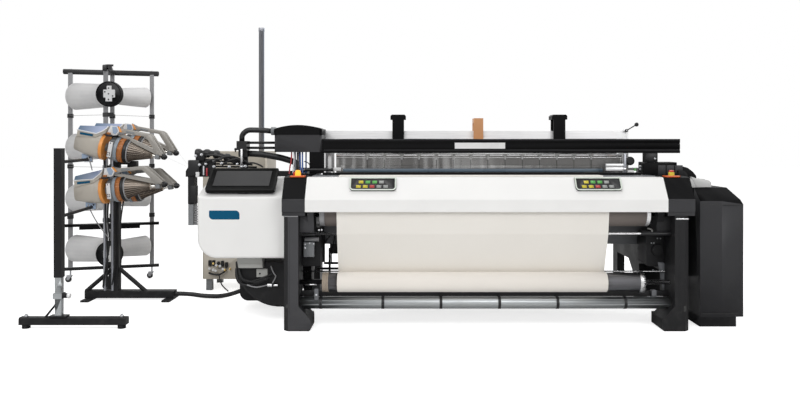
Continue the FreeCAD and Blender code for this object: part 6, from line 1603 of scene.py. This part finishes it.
creel = dressed("creel_frame", [upright_alloy, black_plastic, tube_grey], creel_part)
for vertex in creel.data.vertices:
    if vertex.co.y < front_y + 1.3965 and abs(vertex.co.x + disc_shift - middle_x - disc_x) < 0.105:
        vertex.co.x += disc_shift
for name, (start, end) in (("wide", ((-3.470, 1.684), (-2.725, 1.9065))),
    ("deep", ((-2.990, 1.372), (-3.096, 1.805)))):
    run = Vector((end[0] - start[0], end[1] - start[1], 0)).normalized()
    side = Vector((-run.y, run.x, 0)) * half_width
    sections = [[(place[0] + side.x * a, place[1] + side.y * a, bar_middle + half_height * b)
                 for a, b in ((-1, -1), (1, -1), (1, 1), (-1, 1))] for place in (start, end)]
    lofted(f"creel_bar_{name}", sections, black_plastic, edge=0.003)
bracket_outline = [(-0.026, -0.062), (0.026, -0.062), (0.026, -0.030), (0.050, -0.030), (0.050, 0.034),
    (0.022, 0.034), (0.022, 0.066), (-0.016, 0.066), (-0.016, 0.034), (-0.044, 0.034), (-0.044, -0.030),
    (-0.026, -0.030)]
for name, height in (("upper", 1.600), ("lower", 0.296)):
    plate(f"disc_bracket_{name}", [(-2.938 + x, 1.3345, height + z) for x, z in bracket_outline],
          (0, -0.010, 0), white_plastic, 0.002)
    hole = rod(f"bracket_holes_{name}", (-2.938, 1.3242, height), (-2.938, 1.3225, height), 0.0065,
               black_plastic, sides=12)
    repeat(hole, [(-0.030, 0, 0.016), (0.034, 0, -0.018), (0, 0, 0.046), (0, 0, -0.046)])
    spun(f"disc_rim_{name}", (disc_x, 1.3352, height), (0, -1, 0),
         [(0, 0.094), (0, 0.1025), (0.004, 0.1025), (0.0055, 0.0985), (0.0055, 0.0955), (0, 0.094)],
         black_cover, sides=48)
print("creel dressed")

# %% [markdown]
# Thin guide wires run from the side posts to the front post, and a black cone holds each right
# package from behind. Bolt heads stand on the bars over the posts.

# %% Guide wires, cones and bolts
(left_x, left_y), (right_x, right_y), (front_x, front_post_y) = creel_posts[:3]
for index, height in enumerate((1.433, 0.999)):
    for side, x, y in (("left", left_x, left_y), ("right", right_x, right_y)):
        middle = ((x + front_x) / 2, (y + front_post_y) / 2 - 0.03, height)
        line(f"guide_wire_{side}_{index + 1}",
             [(x, y - 0.030, height), middle, (front_x, front_post_y + 0.02, height)], 0.0016, reed_steel,
             sides=1)
for row, height in enumerate(creel_rows):
    spun(f"package_cone_{row + 1}", (-2.80473, 1.86275, height), (0.687, 0.7267, 0),
         [(0, 0.002), (0, 0.058), (0.010, 0.054), (0.026, 0.020), (0.040, 0.006), (0.041, 0)], black_plastic,
         sides=28)
for name, height in (("top", 1.829), ("foot", 0.100)):
    bolt = rod(f"bar_bolts_{name}", (left_x, left_y, height), (left_x, left_y, height + 0.011), 0.010,
               turned_steel, sides=6)
    repeat(bolt, [(x - left_x, y - left_y, 0) for x, y in creel_posts[1:]])
print("wires and cones done")

# %% [markdown]
# Cables hang from the feeders along the column of their stand, and a black connector box sits
# between the two pairs. The cables are cords that leave a feeder and end at the base beam.

# %% Cables and boxes of the feeder stand
block("stand_box", (-2.6285, -2.5605), (0.900, 0.960), (1.0147, 1.0639), black_plastic, 0.005)
block("stand_clip", (-2.7158, -2.636), (0.925, 0.968), (1.0365, 1.0707), black_casting, 0.003)
for index, (radius, *points) in enumerate(((0.0055, (-2.6816, 0.93, 1.0707), (-2.7081, 0.92, 1.0027),
            (-2.7234, 0.93, 0.8426), (-2.7444, 0.935, 0.614), (-2.7273, 0.94, 0.2936),
            (-2.7618, 0.95, 0.1165)),
        (0.0063, (-2.8228, 0.95, 1.0703), (-2.7957, 0.93, 0.9567), (-2.8109, 0.93, 0.6525),
         (-2.7825, 0.935, 0.3477), (-2.8037, 0.95, 0.1013)),
        (0.0055, (-2.6588, 0.93, 0.797), (-2.6816, 0.92, 0.6611), (-2.6968, 0.93, 0.4625),
         (-2.6816, 0.94, 0.2936), (-2.716, 0.95, 0.1089)),
        (0.0063, (-2.7729, 0.93, 0.7894), (-2.7916, 0.92, 0.6763), (-2.7652, 0.93, 0.4625),
         (-2.8073, 0.94, 0.2479), (-2.8304, 0.95, 0.1013)))):
    cord(f"stand_cable_{index + 1}", points, radius, black_plastic)
for index, (x, top) in enumerate(((-2.82326, 1.09281), (-2.76507, 1.10046))):
    rod(f"stand_pipe_{index + 1}", (x, 0.970, top), (x, 0.970, 0.070), 0.0105, upright_alloy)
for index, points in enumerate((((-2.8793, 0.8, 1.0997), (-2.8572, 0.79, 1.0516), (-2.8496, 0.8, 0.9956)),
        ((-2.8808, 0.8, 0.743), (-2.8276, 0.79, 0.614), (-2.7647, 0.9, 0.4814)))):
    cord(f"clamp_cable_{index + 1}", points, 0.0042, tube_grey)
print("stand cables done")

# %% [markdown]
# The support's clamps hold the housings from below with pale cheeks, and its post has a pale knob.

# %% Clamps and knob of the support
for index, (x, z) in enumerate(((-2.898, 1.076), (-2.869, 0.721))):
    block(f"clamp_cheek_{index + 1}", (x - 0.040, x + 0.036), (0.8215, 0.8285), (z - 0.014, z + 0.044),
          pale_blue, 0.004)
    clamp_bolt = rod(f"clamp_bolts_{index + 1}", (x - 0.024, 0.8215, z), (x - 0.024, 0.8165, z), 0.006,
        black_plastic, sides=12)
    repeat(clamp_bolt, [(0.028, 0, 0.010), (0.046, 0, 0.018)])
spun("support_knob", (-2.7095, 0.090, 0.210), (1, 0, 0),
     [(0, 0), (0, 0.0165), (0.004, 0.0185), (0.014, 0.0185), (0.018, 0.015), (0.018, 0)], light_alloy,
     sides=24)
block("support_cap", (-2.7905, -2.7375), (0.0635, 0.1165), (1.1585, 1.1665), black_plastic, 0.003)
for index, x in enumerate((-2.978, -2.358)):
    spun(f"foot_nut_{index + 1}", (x, 0.090, 0.0735), (0, 0, 1),
         [(0, 0), (0, 0.013), (0.009, 0.013), (0.012, 0.008), (0.018, 0.008), (0.019, 0)], turned_steel,
         sides=12)
print("support done")

# %% [markdown]
# On the right shoulder a black curved hood covers the drive, and a pale box stands beside it. Both
# are cut to their outlines and pulled back.

# %% Right shoulder
hood_outline = [(1.3178, 0.345, 1.0457), (1.3622, 0.345, 1.0443), (1.41, 0.345, 1.0307),
    (1.4441, 0.345, 1.0061), (1.468, 0.345, 0.9774), (1.4714, 0.345, 0.9542), (1.3178, 0.345, 0.9542)]
plate("drive_curve", hood_outline, (0, 0.11, 0), black_cover, 0.006, segments=2)
box_outline = [(1.3782, 0.196, 0.9772), (1.4147, 0.196, 0.964), (1.4942, 0.196, 0.9534),
    (1.5101, 0.196, 0.9375), (1.5101, 0.196, 0.907), (1.4114, 0.196, 0.907), (1.3948, 0.196, 0.9414)]
plate("pale_box_front", box_outline, (0, 0.034, 0), pale_box, 0.003, segments=2)
# Thin light strips along the top of each leg's front, where it meets the shoulder, are painted highlights.
block("leg_highlight_right", (1.2063, 1.2865), (-0.0008, 0.004), (0.7115, 0.7197), bright_rod, 0.0006)
block("leg_slot_right", (1.2556, 1.2721), (-0.0014, 0.004), (0.1263, 0.1607), rubber_black, 0.0006)
rod("leg_hole_left", (-1.2674, -0.0012, 0.1595), (-1.2683, 0.004, 0.1584), 0.0125, rubber_black)
block("leg_highlight_left", (-1.2944, -1.2014), (-0.0008, 0.004), (0.7299, 0.735), tube_grey, 0.0006)
leg_seam = block("leg_seams", (-1.2585, -1.2565), (-0.0008, 0.004), (0.115, 0.700), black_casting, 0.0004,
    segments=1)
repeat(leg_seam, [(2.4870, 0, 0)])
print("right shoulder done")

# %% [markdown]
# Between the left leg and the cloth one sees a motor with a cylinder on it, shafts, bolts and
# brackets. They are small turned and bevelled pieces at their places behind the leg.

# %% Inside the left leg
block("left_motor", (-1.1904, -1.1204), (0.172, 0.200), (0.4474, 0.5464), grey_plastic, 0.004)
rod("left_motor_top", (-1.1846, 0.19, 0.563), (-1.0906, 0.19, 0.563), 0.0145, tube_grey)
motor_bolt = rod("left_motor_bolts", (-1.1806, 0.171, 0.5325), (-1.1802, 0.168, 0.5329), 0.0055, turned_steel,
    sides=12)
repeat(motor_bolt, [(0, 0, -0.026), (0.030, 0, 0.006), (0.056, 0, 0.002)])
rod("left_bright_rod", (-1.1847, 0.2, 0.2605), (-1.1064, 0.2, 0.2605), 0.0065, bright_rod)
block("left_upright_1", (-1.2178, -1.2079), (0.198, 0.206), (0.238, 0.4834), grey_paint, 0.001)
block("left_upright_2", (-1.0875, -1.0769), (0.218, 0.228), (0.2075, 0.358), tube_grey, 0.001)
block("left_bracket", (-1.1052, -1.0787), (0.060, 0.075), (0.1849, 0.2597), grey_paint, 0.002)
rod("left_bracket_bolt", (-1.0923, 0.06, 0.2197), (-1.0918, 0.056, 0.2206), 0.0060, turned_steel, sides=12)
row_bolt = rod("left_row_bolts", (-1.2108, 0.17, 0.6262), (-1.2094, 0.16, 0.6274), 0.0060, bright_rod,
    sides=12)
repeat(row_bolt, [(0.030, 0, 0), (0.050, 0, -0.003), (0.076, 0, 0), (0.122, 0, -0.001), (0.140, 0, 0),
           (0.050, 0, 0.040), (0.032, 0, 0.044)])
rod("left_thin_rod", (-1.1633, 0.17, 0.6658), (-1.1633, 0.17, 0.7423), 0.0035, turned_steel)
block("left_small_plate", (-1.1271, -1.1047), (0.160, 0.170), (0.7296, 0.7414), pale_box, 0.001)
for side, x, width, material in (("left", -1.0745, 0.033, tube_grey), ("right", 1.041, 0.027, light_alloy)):
    spun(f"roller_collar_{side}", (x, 0.140, 0.740), (1, 0, 0), ring_outline(0.030, 0.083, width, 0.003),
         material, "take_up_roller", 48)
for name, across, depth, upright, edge in (
        ("upright", (-1.0551, -1.0411), (0.445, 0.465), (0.2734, 0.4685), 0.002),
        ("bar_upper", (-1.0883, -0.9905), (0.455, 0.470), (0.354, 0.3694), 0.002),
        ("bar_lower", (-1.1384, -0.988), (0.462, 0.478), (0.3147, 0.3301), 0.002),
        ("panel_left", (-1.1322, -1.0768), (0.410, 0.428), (0.3757, 0.5835), 0.004),
        ("panel_middle", (-1.0443, -0.9914), (0.430, 0.444), (0.431, 0.5812), 0.004)):
    block(f"dark_{name}", across, depth, upright, black_casting, edge)
line("dark_lead_1",
     [(-1.1056, 0.4, 0.5514), (-1.0849, 0.4, 0.4893), (-1.0653, 0.41, 0.5294), (-1.0421, 0.42, 0.5558)],
     0.0050, black_plastic)
line("dark_lead_2",
     [(-1.0117, 0.42, 0.5558), (-1.0196, 0.43, 0.4852), (-1.0373, 0.44, 0.4282), (-1.0342, 0.45, 0.371)],
     0.0040, black_plastic)
print("left inside done")

# %% [markdown]
# Behind the right leg there are two short shafts, a slanting brace and small fittings. A dark panel behind
# the largest gap is painted shade: it stands where the inside lies in shade.

# %% Inside the right leg
for index, height in enumerate((0.66124, 0.62050)):
    rod(f"right_inner_shaft_{index + 1}", (1.152, 0.150, height), (1.216, 0.150, height), 0.0065,
        grey_plastic)
    spun(f"right_shaft_end_{index + 1}", (1.140, 0.150, height), (1, 0, 0),
         [(0, 0), (0.001, 0.007), (0.004, 0.0095), (0.010, 0.0095), (0.013, 0.007), (0.013, 0)], light_grey,
         sides=20)
lofted("right_brace",
       [[(1.18, 0.2, 0.3998), (1.2105, 0.2, 0.3998), (1.1893, 0.215, 0.4096), (1.1588, 0.215, 0.4096)],
        [(1.2145, 0.2, 0.2048), (1.2463, 0.2, 0.2048), (1.2251, 0.215, 0.2154), (1.1933, 0.215, 0.2154)]],
       grey_paint, edge=0.002)
rod("right_roll_pin", (1.0867, 0.28, 0.3372), (1.1083, 0.28, 0.3372), 0.0060, bright_rod)
line("right_hook",
     [(1.0758, 0.16, 0.6379), (1.0995, 0.16, 0.6366), (1.1074, 0.16, 0.6208), (1.1114, 0.16, 0.605)], 0.0050,
     light_grey)
block("right_tube_bracket", (1.0893, 1.1207), (0.115, 0.150), (0.1854, 0.2403), grey_paint, 0.003)
rod("right_rod_knob", (1.0522, 0.19, 0.6001), (1.0747, 0.19, 0.6001), 0.0085, light_grey)
right_bolt = rod("right_inner_bolts", (1.1104, 0.19, 0.5378), (1.1085, 0.184, 0.5386), 0.0050, grey_plastic,
    sides=12)
repeat(right_bolt, [(0.016, 0, 0), (0.040, 0, 0.030), (0.060, 0, 0.030), (-0.008, 0, 0.070),
           (0.010, 0, -0.180), (0.070, 0, -0.250)])
# Dark sheet of painted shade behind the largest gap.
block("right_gap_shade_panel", (1.3324, 1.4682), (1.05, 1.056), (0.0356, 0.2762), black_casting, 0.001)
# Black sleeve over the front rod's right end inside the right leg: painted shade.
rod("right_rod_shade_sleeve", (1.000, 0.062, 0.615), (1.212, 0.062, 0.615), 0.0125, black_plastic)
print("right inside done")

# %% [markdown]
# Seams break up the plain front of the right cabinet: one lies below its brow, one over its foot.

# %% Seams of the right cabinet
block("cabinet_seam", (1.402, 1.676), (0.0888, 0.0912), (0.7965, 0.8005), rubber_black, 0.0006, segments=1)
block("cabinet_foot_seam", (1.402, 1.640), (0.0888, 0.0912), (0.0905, 0.0940), rubber_black, 0.0006,
      segments=1)
print("seams done")
